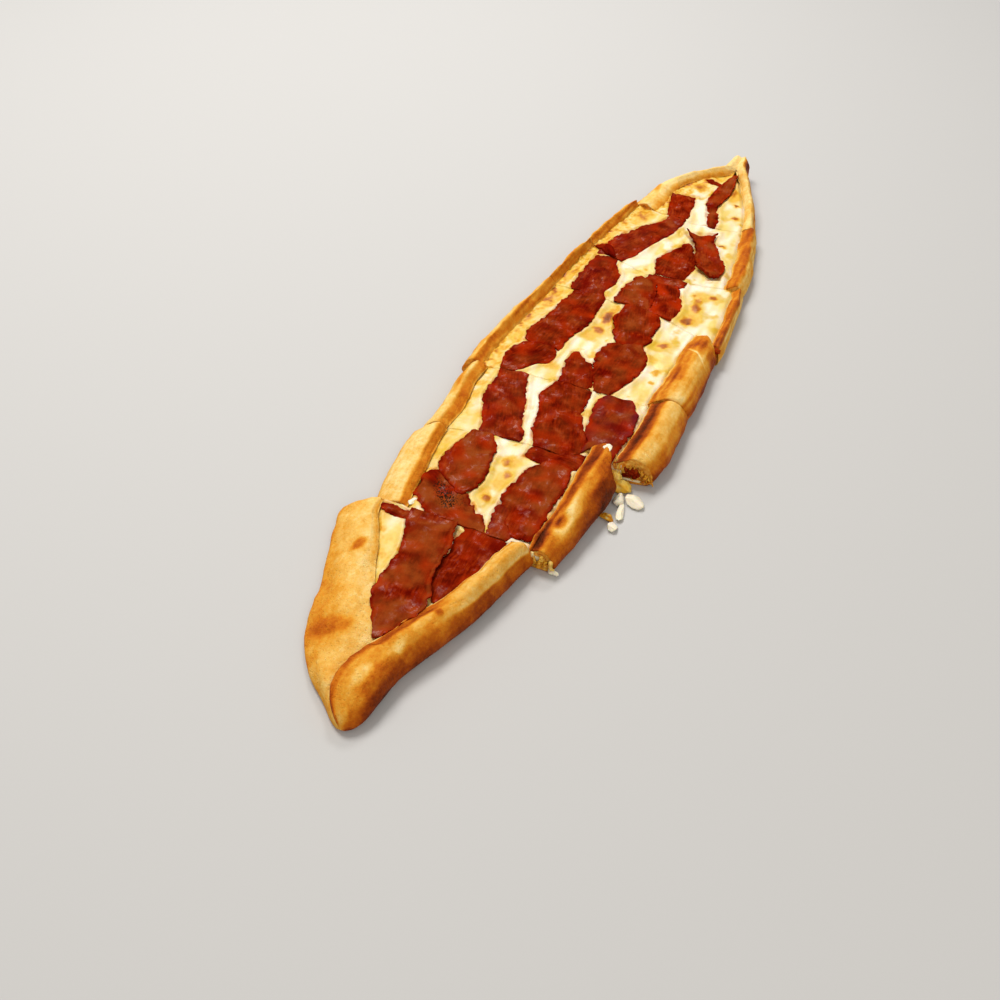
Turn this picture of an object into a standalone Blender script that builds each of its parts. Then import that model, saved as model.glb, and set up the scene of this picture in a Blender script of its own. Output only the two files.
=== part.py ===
"""Turkish pide with cured beef and melted cheese, cut crosswise into seven slices.

The pide lies along Y with its near tip at -Y, its underside flat on z = 0, and the
middle of its box at x = y = 0. Each slice is a crust with folded flaps and a layer of
cheese that runs through it, and thin slices of cured beef lie on the cheese.
Lengths below are millimetres; the meshes are metres.
"""

from dataclasses import dataclass
from math import cos, radians, sin

import bmesh
import bpy
from mathutils import Vector, noise

MM = 0.001
WELD = 0.00001

# Driving dimensions of the section, in millimetres
BASE = 4.0  # dough under the filling
FILL = 8.0  # top of the cheese under the flaps
CROWN = 0.8  # how far the cheese stands above that between the flaps
GAP = 0.35  # space kept between neighbouring pieces
FOOT = 4.0  # how far the underside stays in from the outer edge
UNDERCUT = 8.0  # how far the filling runs under a flap
LEAST_WALL = 4.5  # least dough left outside the filling
LIP = 1.4  # height of the flap's nose above its underside
OPEN = 3.0  # least opening between two flaps; below it they are folded shut
BEEF = 2.0  # thickness of a beef slice
KNIFE = 0.5  # half the width of a cut between two slices
UNEVEN = 0.5  # waviness of the rolled edges

SPREAD = (0.12, 0.35, 0.50, 0.65, 0.88)  # where a flat stretch of a section has points
CRUST_PAIRS = tuple((12 + i, 33 - i) for i in range(5))  # floor and underside points
CHEESE_PAIRS = tuple((1 + i, 13 - i) for i in range(5))  # underside and top points
BEEF_ROWS = 6
BEEF_COLUMNS = 3
SHIFT_X = 2.3  # moves the pide so that the middle of its box is at x = 0
SHIFT_Y = 1.0


@dataclass(frozen=True)
class Station:
    """Widths and heights of the pide at one place along its length."""

    y: float
    left: float  # outer edge of the left side
    right: float  # outer edge of the right side
    left_flap: float  # how far the left flap folds in
    right_flap: float
    left_rise: float  # height of the left flap
    right_rise: float
    lift: float = 0.0  # height of the underside


@dataclass(frozen=True)
class Cut:
    """Line of a knife cut or of a tip, given on the left, in the middle and on the right."""

    left: float
    middle: float
    right: float
    reach: float = 60.0

    def at(self, x: float) -> float:
        """Return y of the cut at x."""
        side = max(-1.0, min(1.0, x / self.reach))
        edge = self.left if side < 0 else self.right
        return self.middle + (edge - self.middle) * side * side


@dataclass(frozen=True)
class Slice:
    """One crosswise slice of the pide, between two cuts."""

    name: str
    near: Cut
    far: Cut
    rows: int
    stations: tuple


@dataclass(frozen=True)
class Beef:
    """One slice of cured beef: its middle, direction, length and three widths."""

    name: str
    owner: str  # the pide slice that carries it
    x: float
    y: float
    heading: float  # degrees clockwise from +Y
    length: float
    near: float
    middle: float
    far: float
    bow: float = 0.0  # sideways bend of the middle
    curl_left: float = 0.0  # how far the edge turns up
    curl_right: float = 0.0
    on_top_of: tuple = ()


CUT_1 = Cut(-146.0, -144.5, -143.0)
CUT_2 = Cut(-89.0, -77.0, -67.0)
CUT_3 = Cut(-31.0, -22.0, -15.0)
CUT_4 = Cut(64.0, 62.0, 42.0)
CUT_5 = Cut(121.0, 101.0, 114.0)
CUT_6 = Cut(181.0, 170.0, 193.0)

SLICES = (
    Slice(
        "1",
        Cut(-264.0, -264.0, -264.0),
        CUT_1,
        12,
        (
            Station(-264, -3, 3, 2.5, 3.5, 5, 6),
            Station(-256, -13, 7.5, 4, 16.5, 7, 12),
            Station(-246, -27, 8.7, 15, 20.7, 9, 15.5),
            Station(-232, -38.5, 10, 28, 20.5, 10.5, 17),
            Station(-219, -44.5, 13.8, 36, 17.5, 12, 17),
            Station(-204, -49, 19, 29.5, 16.5, 12.5, 17),
            Station(-188, -55.5, 24, 27, 12, 12.5, 17),
            Station(-168, -63.5, 27.6, 24.5, 14.5, 12.5, 17.5),
            Station(-155, -67, 30, 20.5, 16, 12.5, 17.5),
            Station(-144, -59, 32, 9, 17, 11, 14.5),
        ),
    ),
    Slice(
        "2",
        CUT_1,
        CUT_2,
        7,
        (
            Station(-145, -55.5, 42, 19, 13, 12, 12),
            Station(-118, -61.5, 46, 19.5, 17, 13, 18),
            Station(-92, -64.5, 48, 18, 20, 13.5, 19.5),
            Station(-68, -64, 48.5, 17, 22, 13.5, 19),
        ),
    ),
    Slice(
        "3",
        CUT_2,
        CUT_3,
        6,
        (
            Station(-88, -60.5, 59, 13, 20, 13, 15),
            Station(-68, -61.5, 62.5, 14, 22, 13, 17),
            Station(-45, -64.5, 64, 13, 22, 14, 18.5),
            Station(-15, -63, 62, 10.5, 21, 14, 17),
        ),
    ),
    Slice(
        "4",
        CUT_3,
        CUT_4,
        8,
        (
            Station(-31, -68, 60, 13, 21, 14, 17),
            Station(0, -68.5, 61.5, 13, 22, 14.5, 18),
            Station(30, -65.5, 59.5, 12, 19, 15, 17),
            Station(64, -61.5, 58, 10, 15, 15, 14),
        ),
    ),
    Slice(
        "5",
        CUT_4,
        CUT_5,
        6,
        (
            Station(42, -63, 60, 10, 8, 15, 13),
            Station(80, -60.5, 57, 8.5, 7.5, 15, 12.5),
            Station(121, -56, 51.5, 7.5, 7, 15, 12),
        ),
    ),
    Slice(
        "6",
        CUT_5,
        CUT_6,
        7,
        (
            Station(101, -58.5, 53, 10, 11, 14, 13),
            Station(135, -57.5, 50, 10, 12, 14, 14),
            Station(160, -52.5, 44.5, 8.5, 11, 14, 13.5),
            Station(190, -47, 36.5, 7.5, 8.5, 13, 13),
        ),
    ),
    Slice(
        "7",
        CUT_6,
        Cut(262.0, 262.0, 262.0),
        11,
        (
            Station(170, -47.5, 40, 17, 11, 13, 12),
            Station(190, -45.5, 35.5, 18, 12, 13, 12.5),
            Station(206, -42, 29.5, 15, 12, 13.5, 13.5),
            Station(220, -36, 24, 13.5, 12, 14, 14.5),
            Station(233, -26, 18.5, 14.5, 11, 14.5, 15),
            Station(246, -11, 12, 12.5, 10, 14.5, 15.5, 1.0),
            Station(255, -3.5, 7, 5.5, 6, 13, 14, 3.0),
            Station(262, -1.5, 3.5, 2.5, 3, 9, 10, 6.0),
        ),
    ),
)

BEEF_SLICES = (
    Beef("1_wide", "1", -12, -183, -9, 74, 13, 24, 29, curl_right=3.0),
    Beef("1_under", "1", 5.5, -169, -4, 44, 13, 18, 17),
    Beef("1_scrap", "1", -39, -152, 80, 13, 6, 7, 5),
    Beef("2_peppered", "2", -16, -131.5, 120, 48, 15, 24, 13),
    Beef("2_left", "2", -26, -103, 19, 34, 22, 26, 20, on_top_of=("2_peppered",)),
    Beef("2_small", "2", 9.5, -135, -16, 20, 9, 13, 9, on_top_of=("2_peppered",)),
    Beef("2_strip", "2", 8, -80, 70, 26, 6, 8, 7),
    Beef("2_right", "2", 14, -104, 0, 45, 14, 26, 24, on_top_of=("2_small", "2_strip")),
    Beef("3_left", "3", -28.5, -56, -19, 66, 13, 22, 17, bow=-1.5),
    Beef("3_middle", "3", 3.5, -50.5, -15, 56, 22, 24, 21),
    Beef("3_right", "3", 26.5, -38.5, -4, 42, 12, 25, 11),
    Beef("4_point", "4", -8.5, -8, -20, 26, 18, 14, 6),
    Beef("4_near_left", "4", -37.5, -11.5, 16, 28, 17, 23, 22),
    Beef("4_left", "4", -33, 31, 4, 58, 25, 25, 19, on_top_of=("4_near_left",)),
    Beef("4_oval", "4", 13, 5, 1, 44, 11, 27, 22, bow=1.0, on_top_of=("4_point",)),
    Beef("4_middle", "4", 4.5, 43.5, -18, 36, 23, 27, 26, on_top_of=("4_oval",)),
    Beef("5_middle", "5", -5.5, 77, -13, 32, 24, 21, 13),
    Beef("5_red", "5", 15.5, 73.5, -17, 33, 10, 19, 14, on_top_of=("5_middle",)),
    Beef("5_far", "5", 6, 96.5, 0, 13, 19, 22, 22, on_top_of=("5_middle", "5_red")),
    Beef("5_left", "5", -32.5, 82, -4, 43, 20, 24, 17),
    Beef("6_left", "6", -24, 138, 17, 62, 15, 22, 13),
    Beef("6_dark", "6", -39, 116, 125, 19, 9, 11, 8, on_top_of=("6_left",)),
    Beef("6_near", "6", 4, 120.5, 10, 33, 21, 26, 9),
    Beef("6_curled", "6", 18, 139, -25, 50, 14, 16, 15, curl_left=5.0, on_top_of=("6_near",)),
    Beef("7_square", "7", -17, 190, -10, 30, 13, 20, 13),
    Beef("7_thin", "7", 8, 186, -18, 28, 7, 8, 8),
    Beef("7_tip", "7", 2, 222, 2, 44, 10, 10, 4, on_top_of=("7_thin",)),
    Beef("7_scrap", "7", -7, 226, 90, 9, 6, 8, 6, on_top_of=("7_tip",)),
)


def between(y, stations, field):
    """Return a station's field at y, by a smooth curve through the stations."""
    if y <= stations[0].y:
        return float(getattr(stations[0], field))
    if y >= stations[-1].y:
        return float(getattr(stations[-1], field))
    index = max(i for i, station in enumerate(stations[:-1]) if station.y <= y)
    low = stations[index]
    high = stations[index + 1]
    span = high.y - low.y
    step = (y - low.y) / span
    before = stations[max(index - 1, 0)]
    after = stations[min(index + 2, len(stations) - 1)]
    slope_low = (getattr(high, field) - getattr(before, field)) / (high.y - before.y) * span
    slope_high = (getattr(after, field) - getattr(low, field)) / (after.y - low.y) * span
    square = step * step
    cube = square * step
    return (
        (2 * cube - 3 * square + 1) * getattr(low, field)
        + (cube - 2 * square + step) * slope_low
        + (3 * square - 2 * cube) * getattr(high, field)
        + (cube - square) * slope_high
    )


def row_y(piece, share, x):
    """Return y at x on the row that lies at a share of the way through a slice."""
    near = piece.near.at(x) + KNIFE
    far = piece.far.at(x) - KNIFE
    return near + (far - near) * share


def lift_at(piece, y):
    """Return how high the underside of a slice lies at y."""
    return max(0.0, between(y, piece.stations, "lift"))


def sizes_at(piece, share):
    """Return a row's sizes: outer edges, flaps, rises and lift, each read where it lies."""
    sizes = {}
    for side in ("left", "right"):
        x = between(row_y(piece, share, 0.0), piece.stations, side)
        for _ in range(3):
            y = row_y(piece, share, x)
            x = between(y, piece.stations, side)
        wave = noise.noise(Vector((x / 40.0, y / 14.0, 3.0)))
        sizes[side] = x + UNEVEN * wave
        sizes[side + "_flap"] = between(y, piece.stations, side + "_flap")
        sizes[side + "_rise"] = between(y, piece.stations, side + "_rise") + UNEVEN * wave
    sizes["lift"] = lift_at(piece, row_y(piece, share, 0.0))
    sizes["left_lip"] = sizes["left"] + sizes["left_flap"]
    sizes["right_lip"] = sizes["right"] - sizes["right_flap"]
    sizes["open"] = sizes["right_lip"] - sizes["left_lip"] > OPEN
    return sizes


def wall_inset(flap):
    """Return how far the filling's side lies in from the outer edge of a flap."""
    return max(LEAST_WALL, flap - UNDERCUT)


def rolled_edge(flap, rise):
    """Return the outside of a flap, from its foot to its nose, as insets and heights."""
    foot = min(FOOT, 0.4 * flap)
    return [
        (foot, 0.0),
        (0.25 * foot, 0.14 * rise),
        (0.0, 0.40 * rise),
        (0.09 * flap, 0.73 * rise),
        (0.25 * flap, 0.93 * rise),
        (0.46 * flap, rise),
        (0.68 * flap, 0.96 * rise),
    ]


def folded_edge(flap, rise):
    """Return a whole flap, with its nose, its underside and the wall of the filling."""
    under = FILL + GAP
    wall = wall_inset(flap)
    return rolled_edge(flap, rise) + [
        (0.88 * flap, under + 0.72 * (rise - under)),
        (flap, under + LIP),
        (max(flap - LIP, wall + 0.5), under),
        (wall, under),
        (wall, BASE),
    ]


def shut_edge(flap, rise, crease, nose):
    """Return a flap that ends in the crease where it meets the other one."""
    return rolled_edge(flap, rise) + [
        (0.88 * flap, crease + 0.72 * (rise - crease)),
        (flap, crease + nose),
        (flap, crease),
        (flap, crease),
        (flap, crease),
    ]


def crust_ring(sizes):
    """Return one section of the crust as x and z, counter-clockwise from its left foot."""
    if sizes["open"]:
        left = folded_edge(sizes["left_flap"], sizes["left_rise"])
        right = folded_edge(sizes["right_flap"], sizes["right_rise"])
    else:
        crease = 0.80 * sizes["left_rise"]
        left_flap = sizes["right_lip"] - sizes["left"]
        left = shut_edge(left_flap, sizes["left_rise"], crease, 0.0)
        right = shut_edge(sizes["right_flap"], sizes["right_rise"], crease, LIP)
    right_side = [(sizes["right"] - inset, z) for inset, z in right]
    left_side = [(sizes["left"] + inset, z) for inset, z in reversed(left)]
    floor = spread(right_side[-1], left_side[0])
    underside = spread(left_side[-1], right_side[0])
    ring = right_side + floor + left_side + underside
    return [(x, z + sizes["lift"]) for x, z in ring]


def spread(start, end):
    """Return the points between two ends of a flat stretch, so that curved cuts stay smooth."""
    return [
        (start[0] + (end[0] - start[0]) * share, start[1] + (end[1] - start[1]) * share)
        for share in SPREAD
    ]


def cheese_ring(sizes):
    """Return one section of the cheese as x and z, counter-clockwise from below on the left."""
    left_wall = sizes["left"] + wall_inset(sizes["left_flap"]) + GAP
    right_wall = sizes["right"] - wall_inset(sizes["right_flap"]) - GAP
    left_lip = sizes["left_lip"] + GAP
    right_lip = sizes["right_lip"] - GAP
    width = right_lip - left_lip
    crown = min(CROWN, 0.25 * width)
    under_left = (left_wall, BASE + GAP)
    under_right = (right_wall, BASE + GAP)
    ring = [under_left] + spread(under_left, under_right) + [under_right]
    ring += [(right_wall, FILL), (right_lip, FILL)]
    for share in SPREAD:
        rise = 1.0 - abs(2.0 * share - 1.0) ** 4
        ring.append((right_lip - share * width, FILL + crown * rise))
    ring += [(left_lip, FILL), (left_wall, FILL)]
    return [(x, z + sizes["lift"]) for x, z in ring]


def add_ring(mesh, points):
    """Add a closed ring of points to a mesh and return its edges."""
    verts = [mesh.verts.new(Vector(point) * MM) for point in points]
    return [mesh.edges.new((verts[i - 1], verts[i])) for i in range(len(verts))]


def close_end(mesh, edges, pairs):
    """Close an end ring with a face, split between the pairs of points that face each other."""
    verts = [edge.verts[1] for edge in edges]
    bmesh.ops.contextual_create(mesh, geom=edges)
    for low, high in pairs:
        bmesh.ops.connect_verts(mesh, verts=[verts[low], verts[high]])


def loft(name, rings, ends, material, collection):
    """Build a closed solid through rings of points and return its object."""
    mesh = bmesh.new()
    edges = [add_ring(mesh, ring) for ring in rings]
    for index in range(len(edges) - 1):
        bmesh.ops.bridge_loops(mesh, edges=edges[index] + edges[index + 1])
    close_end(mesh, edges[0], ends[0])
    close_end(mesh, edges[-1], ends[1])
    return finish(mesh, name, material, collection)


def finish(mesh, name, material, collection):
    """Weld, triangulate and orient a bmesh, and link it as an object."""
    bmesh.ops.remove_doubles(mesh, verts=mesh.verts, dist=WELD)
    bmesh.ops.triangulate(mesh, faces=mesh.faces, ngon_method="EAR_CLIP")
    bmesh.ops.recalc_face_normals(mesh, faces=mesh.faces)
    data = bpy.data.meshes.new(name)
    mesh.to_mesh(data)
    mesh.free()
    data.shade_smooth()
    data.set_sharp_from_angle(angle=radians(50))
    data.materials.append(material)
    item = bpy.data.objects.new(name, data)
    collection.objects.link(item)
    return item


def build_crust(piece, material, collection):
    """Build the crust of one slice."""
    rings = []
    ends = [CRUST_PAIRS if sizes_at(piece, share)["open"] else () for share in (0.0, 1.0)]
    for row in range(piece.rows):
        share = row / (piece.rows - 1)
        points = crust_ring(sizes_at(piece, share))
        rings.append([place(x, row_y(piece, share, x), z) for x, z in points])
    return loft("crust_" + piece.name, rings, ends, material, collection)


def build_cheese(piece, material, collection):
    """Build the cheese of one slice, as far as its flaps lie open."""
    rings = []
    for row in range(piece.rows):
        share = row / (piece.rows - 1)
        sizes = sizes_at(piece, share)
        if sizes["open"]:
            points = cheese_ring(sizes)
            rings.append([place(x, row_y(piece, share, x), z) for x, z in points])
    ends = (CHEESE_PAIRS, CHEESE_PAIRS)
    return loft("cheese_" + piece.name, rings, ends, material, collection)


def place(x, y, z):
    """Return a point of the pide in its own frame."""
    return (x + SHIFT_X, y + SHIFT_Y, z)


def kept_inside(piece, x, y, margin):
    """Return x and y moved to stay between the flaps and the cuts of a slice."""
    y = max(piece.near.at(x) + KNIFE + margin, min(piece.far.at(x) - KNIFE - margin, y))
    left = between(y, piece.stations, "left") + between(y, piece.stations, "left_flap")
    right = between(y, piece.stations, "right") - between(y, piece.stations, "right_flap")
    x = max(left + 2.0 * margin, min(right - 2.0 * margin, x))
    return x, y


def beef_width(beef, share):
    """Return the width of a beef slice at a share of its length, with rounded ends."""
    low = beef.near + (beef.middle - beef.near) * 2.0 * share
    high = beef.middle + (beef.far - beef.middle) * (2.0 * share - 1.0)
    straight = low if share < 0.5 else high
    end = 1.0 - abs(2.0 * share - 1.0) ** 8
    return straight * (0.60 + 0.40 * end)


def beef_point(beef, share, side, grow=0.0):
    """Return x, y and the rise of a beef slice at a share of its length and a side from -1 to 1."""
    turn = radians(beef.heading)
    along = (share - 0.5) * (beef.length + 2.0 * grow)
    bend = beef.bow * (1.0 - (2.0 * share - 1.0) ** 2)
    across = bend + side * (0.5 * beef_width(beef, share) + grow)
    x = beef.x + along * sin(turn) + across * cos(turn)
    y = beef.y + along * cos(turn) - across * sin(turn)
    curl = beef.curl_right if side > 0 else beef.curl_left
    return x, y, curl * side * side


def beef_grid(beef, piece, low, high, grow=0.0):
    """Return a bmesh slab of a beef slice between two heights above its seat."""
    mesh = bmesh.new()
    bmesh.ops.create_grid(mesh, x_segments=BEEF_COLUMNS, y_segments=BEEF_ROWS, size=1.0)
    for vert in mesh.verts:
        side = vert.co.x
        share = 0.5 + 0.5 * vert.co.y
        x, y, rise = beef_point(beef, share, side, grow)
        if grow == 0.0:
            x, y = kept_inside(piece, x, y, 2.0 * GAP)
            rise += lift_at(piece, y)
        vert.co = Vector(place(x, y, low + rise * (grow == 0.0))) * MM
    top = bmesh.ops.extrude_face_region(mesh, geom=mesh.faces[:])
    raised = [item for item in top["geom"] if isinstance(item, bmesh.types.BMVert)]
    bmesh.ops.translate(mesh, verts=raised, vec=(0.0, 0.0, (high - low) * MM))
    return mesh


def build_beef(beef, piece, material, collection):
    """Build one slice of cured beef on the cheese."""
    seat = FILL + CROWN + GAP
    mesh = beef_grid(beef, piece, seat, seat + BEEF)
    return finish(mesh, "beef_" + beef.name, material, collection)


def trim(lower, upper, piece, cutters):
    """Cut a beef slice back from the one that lies against it."""
    mesh = beef_grid(upper, piece, 0.0, 40.0, grow=GAP)
    name = "clear_" + upper.name + "_from_" + lower.name
    cutter = finish(mesh, name, lower.data.materials[0], cutters)
    cutter.hide_render = True
    cutter.display_type = "WIRE"
    cut = lower.modifiers.new("clear_" + upper.name, "BOOLEAN")
    cut.operation = "DIFFERENCE"
    cut.solver = "EXACT"
    cut.object = cutter


def make_material(name, colour, roughness):
    """Return a Principled material."""
    material = bpy.data.materials.new(name)
    material.use_nodes = True
    shader = material.node_tree.nodes["Principled BSDF"]
    shader.inputs["Base Color"].default_value = (*colour, 1.0)
    shader.inputs["Roughness"].default_value = roughness
    shader.inputs["Metallic"].default_value = 0.0
    material.diffuse_color = (*colour, 1.0)
    return material


def crust_material():
    """Baked dough, golden."""
    return make_material("baked_crust", (0.78, 0.45, 0.14), 0.6)


def cheese_material():
    """Melted cheese, pale cream yellow."""
    return make_material("melted_cheese", (0.90, 0.75, 0.40), 0.45)


def beef_material():
    """Cured beef, dark red."""
    return make_material("cured_beef", (0.28, 0.035, 0.015), 0.4)


def main():
    """Build the pide."""
    for item in list(bpy.data.objects):
        bpy.data.objects.remove(item)
    collection = bpy.data.collections.new("turkish_pide")
    cutters = bpy.data.collections.new("cutters")
    bpy.context.scene.collection.children.link(collection)
    bpy.context.scene.collection.children.link(cutters)
    crust = crust_material()
    cheese = cheese_material()
    meat = beef_material()
    slices = {piece.name: piece for piece in SLICES}
    for piece in SLICES:
        build_crust(piece, crust, collection)
        build_cheese(piece, cheese, collection)
    laid = {}
    shapes = {beef.name: beef for beef in BEEF_SLICES}
    for beef in BEEF_SLICES:
        laid[beef.name] = build_beef(beef, slices[beef.owner], meat, collection)
        for name in beef.on_top_of:
            trim(laid[name], shapes[beef.name], slices[beef.owner], cutters)


main()
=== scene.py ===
"""Visual model of a cured beef and cheese pide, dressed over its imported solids.

Lengths in the tables are millimetres on the pide's own axes: x across it, y along it
towards its raised far tip, z up from the surface that it lies on.
"""

import logging
from dataclasses import dataclass, replace
from enum import Enum
from functools import partial
from math import cos, exp, hypot, radians, sin, sqrt
from random import Random
from typing import Callable, Sequence

import bmesh
import bpy
from mathutils import Matrix, Vector, noise


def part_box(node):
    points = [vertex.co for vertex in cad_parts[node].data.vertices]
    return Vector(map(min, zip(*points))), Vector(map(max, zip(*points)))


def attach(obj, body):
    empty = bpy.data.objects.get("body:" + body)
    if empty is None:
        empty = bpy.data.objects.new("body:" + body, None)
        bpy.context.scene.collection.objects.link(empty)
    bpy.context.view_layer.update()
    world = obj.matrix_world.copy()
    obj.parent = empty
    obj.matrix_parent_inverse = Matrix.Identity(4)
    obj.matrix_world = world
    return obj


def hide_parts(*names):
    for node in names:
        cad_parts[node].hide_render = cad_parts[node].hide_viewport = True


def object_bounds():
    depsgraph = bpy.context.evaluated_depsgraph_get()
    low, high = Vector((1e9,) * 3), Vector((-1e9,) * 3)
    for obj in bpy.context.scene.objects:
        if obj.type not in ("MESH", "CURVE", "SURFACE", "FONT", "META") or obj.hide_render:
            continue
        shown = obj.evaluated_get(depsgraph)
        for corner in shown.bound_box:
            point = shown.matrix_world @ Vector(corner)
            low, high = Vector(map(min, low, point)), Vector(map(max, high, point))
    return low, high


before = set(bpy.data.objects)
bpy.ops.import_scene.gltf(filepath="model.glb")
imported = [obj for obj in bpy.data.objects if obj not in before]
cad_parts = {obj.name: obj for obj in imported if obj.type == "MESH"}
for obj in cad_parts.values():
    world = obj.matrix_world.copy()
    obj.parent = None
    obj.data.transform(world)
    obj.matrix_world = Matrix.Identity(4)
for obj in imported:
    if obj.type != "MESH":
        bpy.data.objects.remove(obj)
CAD_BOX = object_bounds()

Pair = tuple[float, float]
Triple = tuple[float, float, float]
Tones = tuple[Pair, ...]
Socket = bpy.types.NodeSocket
Vertex = bmesh.types.BMVert

LOG = logging.getLogger("pide")
MM = 0.001
WELD = 0.00001  # metres within which two corners become one
MIDDLE_X = 0.5 * (CAD_BOX[0].x + CAD_BOX[1].x) / MM + 2.3  # the axes cross near the box's middle
MIDDLE_Y = 0.5 * (CAD_BOX[0].y + CAD_BOX[1].y) / MM + 1.0
CHEESE_TOP = max(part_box(f"cheese_{i}")[1].z for i in range(2, 7)) / MM
BASE = 4.0  # dough under the filling
FILL = 8.0  # top of the cheese under the flaps
SEAM = 0.35  # space between the cheese and the dough round it
FOOT = 4.0  # how far the underside stays in from the outer edge
UNDERCUT = 8.0  # how far the filling runs under a flap
LEAST_WALL = 4.5  # least dough left outside the filling
KNIFE = 0.16  # half the width of a cut
CLOSED = 1.0  # opening between the lips below which they meet
CREASE = 1.6  # how far over the right lip the left one laps where they meet
TIP_RADIUS = 3.5  # rounding of a closed tip
CURVE_STEPS = 8  # straight runs between two points of a smooth curve
CUT_REACH = 5.0  # how near a cut a beef slice's end lies to be cut by it
EDGE_LINE = 2.2  # width of the frilled rim of a beef slice
LEAST_REACH = 0.6  # least reach of a beef slice to either side
NO_CUT = 99.0  # stands for the distance to a cut that a tip doesn't have

NOISE_ROUGHNESS = 0.6  # how much of its finest lumps a noise texture shows


def clamp(value: float, low: float = 0.0, high: float = 1.0) -> float:
    """Return a value kept between two limits."""
    return max(low, min(high, value))


def mix(low: float, high: float, share: float) -> float:
    """Return the value that lies a share of the way between two."""
    return low + (high - low) * share


def mix_pair(first: Pair, second: Pair, share: float) -> Pair:
    """Return the place that lies a share of the way between two."""
    return mix(first[0], second[0], share), mix(first[1], second[1], share)


def ease(low: float, high: float, value: float) -> float:
    """Return 0 below low and 1 above high, with a smooth step between."""
    share = clamp((value - low) / (high - low))
    return share * share * (3.0 - 2.0 * share)


def srgb(red: float, green: float, blue: float) -> Triple:
    """Return the linear colour of display values from 0 to 255."""
    parts = (red / 255.0, green / 255.0, blue / 255.0)
    return tuple(part / 12.92 if part <= 0.04045 else ((part + 0.055) / 1.055) ** 2.4 for part in parts)


def place(x: float, y: float, z: float) -> Vector:
    """Return a place of the pide in the frame."""
    return Vector((x + MIDDLE_X, y + MIDDLE_Y, z)) * MM


def smooth_noise(*at: float) -> float:
    """Return smooth noise from -1 to 1 at three numbers."""
    return noise.noise(Vector(at))


def rough(x: float, y: float, z: float, size: float, seed: float = 0.0) -> float:
    """Return smooth noise from -1 to 1 with lumps of about a size in millimetres."""
    return smooth_noise(x / size + seed, y / size - seed, z / size + 2.0 * seed)


def uneven(x: float, y: float, z: float, *parts: Triple) -> float:
    """Return a sum of noises, each given by its height, its size and its seed."""
    return sum(height * rough(x, y, z, size, seed) for height, size, seed in parts)


def around(items: Sequence, index: int) -> list:
    """Return the two items on each side of the gap after an index, held at the ends."""
    return [items[max(0, min(len(items) - 1, index + step))] for step in (-1, 0, 1, 2)]


def tones(*percents: int) -> Tones:
    """Return stops from places and tones in percent, given in turn."""
    return tuple((where / 100.0, tone / 100.0) for where, tone in zip(percents[::2], percents[1::2]))


def steps(stops: Tones, share: float) -> float:
    """Read a value from stops, with smooth steps between them.

    Args:
        stops: Places in order, each with its value.
        share: The place to read.

    Returns:
        The value there.
    """
    for (low, first), (high, second) in zip(stops, stops[1:]):
        if share <= high:
            return mix(first, second, ease(low, high, share))
    return stops[-1][1]


def cubic(before: float, low: float, high: float, after: float, share: float) -> float:
    """Read a smooth curve between two of its points.

    Args:
        before: The point before the two.
        low: The first of the two.
        high: The second of the two.
        after: The point after them.
        share: How far the place lies from the first to the second.

    Returns:
        The value there.
    """
    square = share * share
    cube = square * share
    return 0.5 * (
        2.0 * low
        + (high - before) * share
        + (2.0 * before - 5.0 * low + 4.0 * high - after) * square
        + (3.0 * (low - high) + after - before) * cube
    )


def through(values: Sequence[float], share: float) -> float:
    """Read a smooth curve through evenly spaced values.

    Args:
        values: The values that it passes.
        share: How far along it to read.

    Returns:
        The value there.
    """
    reach = clamp(share) * (len(values) - 1)
    index = min(int(reach), len(values) - 2)
    return cubic(*around(values, index), reach - index)


def even_curve(points: Sequence[Pair], count: int) -> list[Pair]:
    """Share out points evenly along a smooth curve.

    Args:
        points: The points that the curve passes.
        count: How many equal runs it is cut into.

    Returns:
        The ends of the runs, one more than their count.
    """
    line: list[Pair] = []
    for index in range(len(points) - 1):
        across, up = zip(*around(points, index))
        shares = [step / CURVE_STEPS for step in range(CURVE_STEPS)]
        line += [(cubic(*across, share), cubic(*up, share)) for share in shares]
    line.append(points[-1])
    runs = [0.0]
    for start, end in zip(line, line[1:]):
        runs.append(runs[-1] + hypot(end[0] - start[0], end[1] - start[1]))
    result = []
    index = 0
    for number in range(count + 1):
        goal = runs[-1] * number / count
        while index < len(line) - 2 and runs[index + 1] < goal:
            index += 1
        span = runs[index + 1] - runs[index]
        share = clamp((goal - runs[index]) / span) if span > 0 else 0.0
        result.append(mix_pair(line[index], line[index + 1], share))
    return result


def broken_line(points: Sequence[Pair], count: int) -> list[Pair]:
    """Share out points along straight runs, as many on each run.

    Args:
        points: The ends of the straight runs.
        count: How many steps all of them are cut into.

    Returns:
        The ends of the steps, one more than their count.
    """
    runs = len(points) - 1
    result = []
    for number in range(count + 1):
        reach = number / count * runs
        index = min(int(reach), runs - 1)
        result.append(mix_pair(points[index], points[index + 1], reach - index))
    return result


# ------------------------------------------------------------------ finishes


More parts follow.
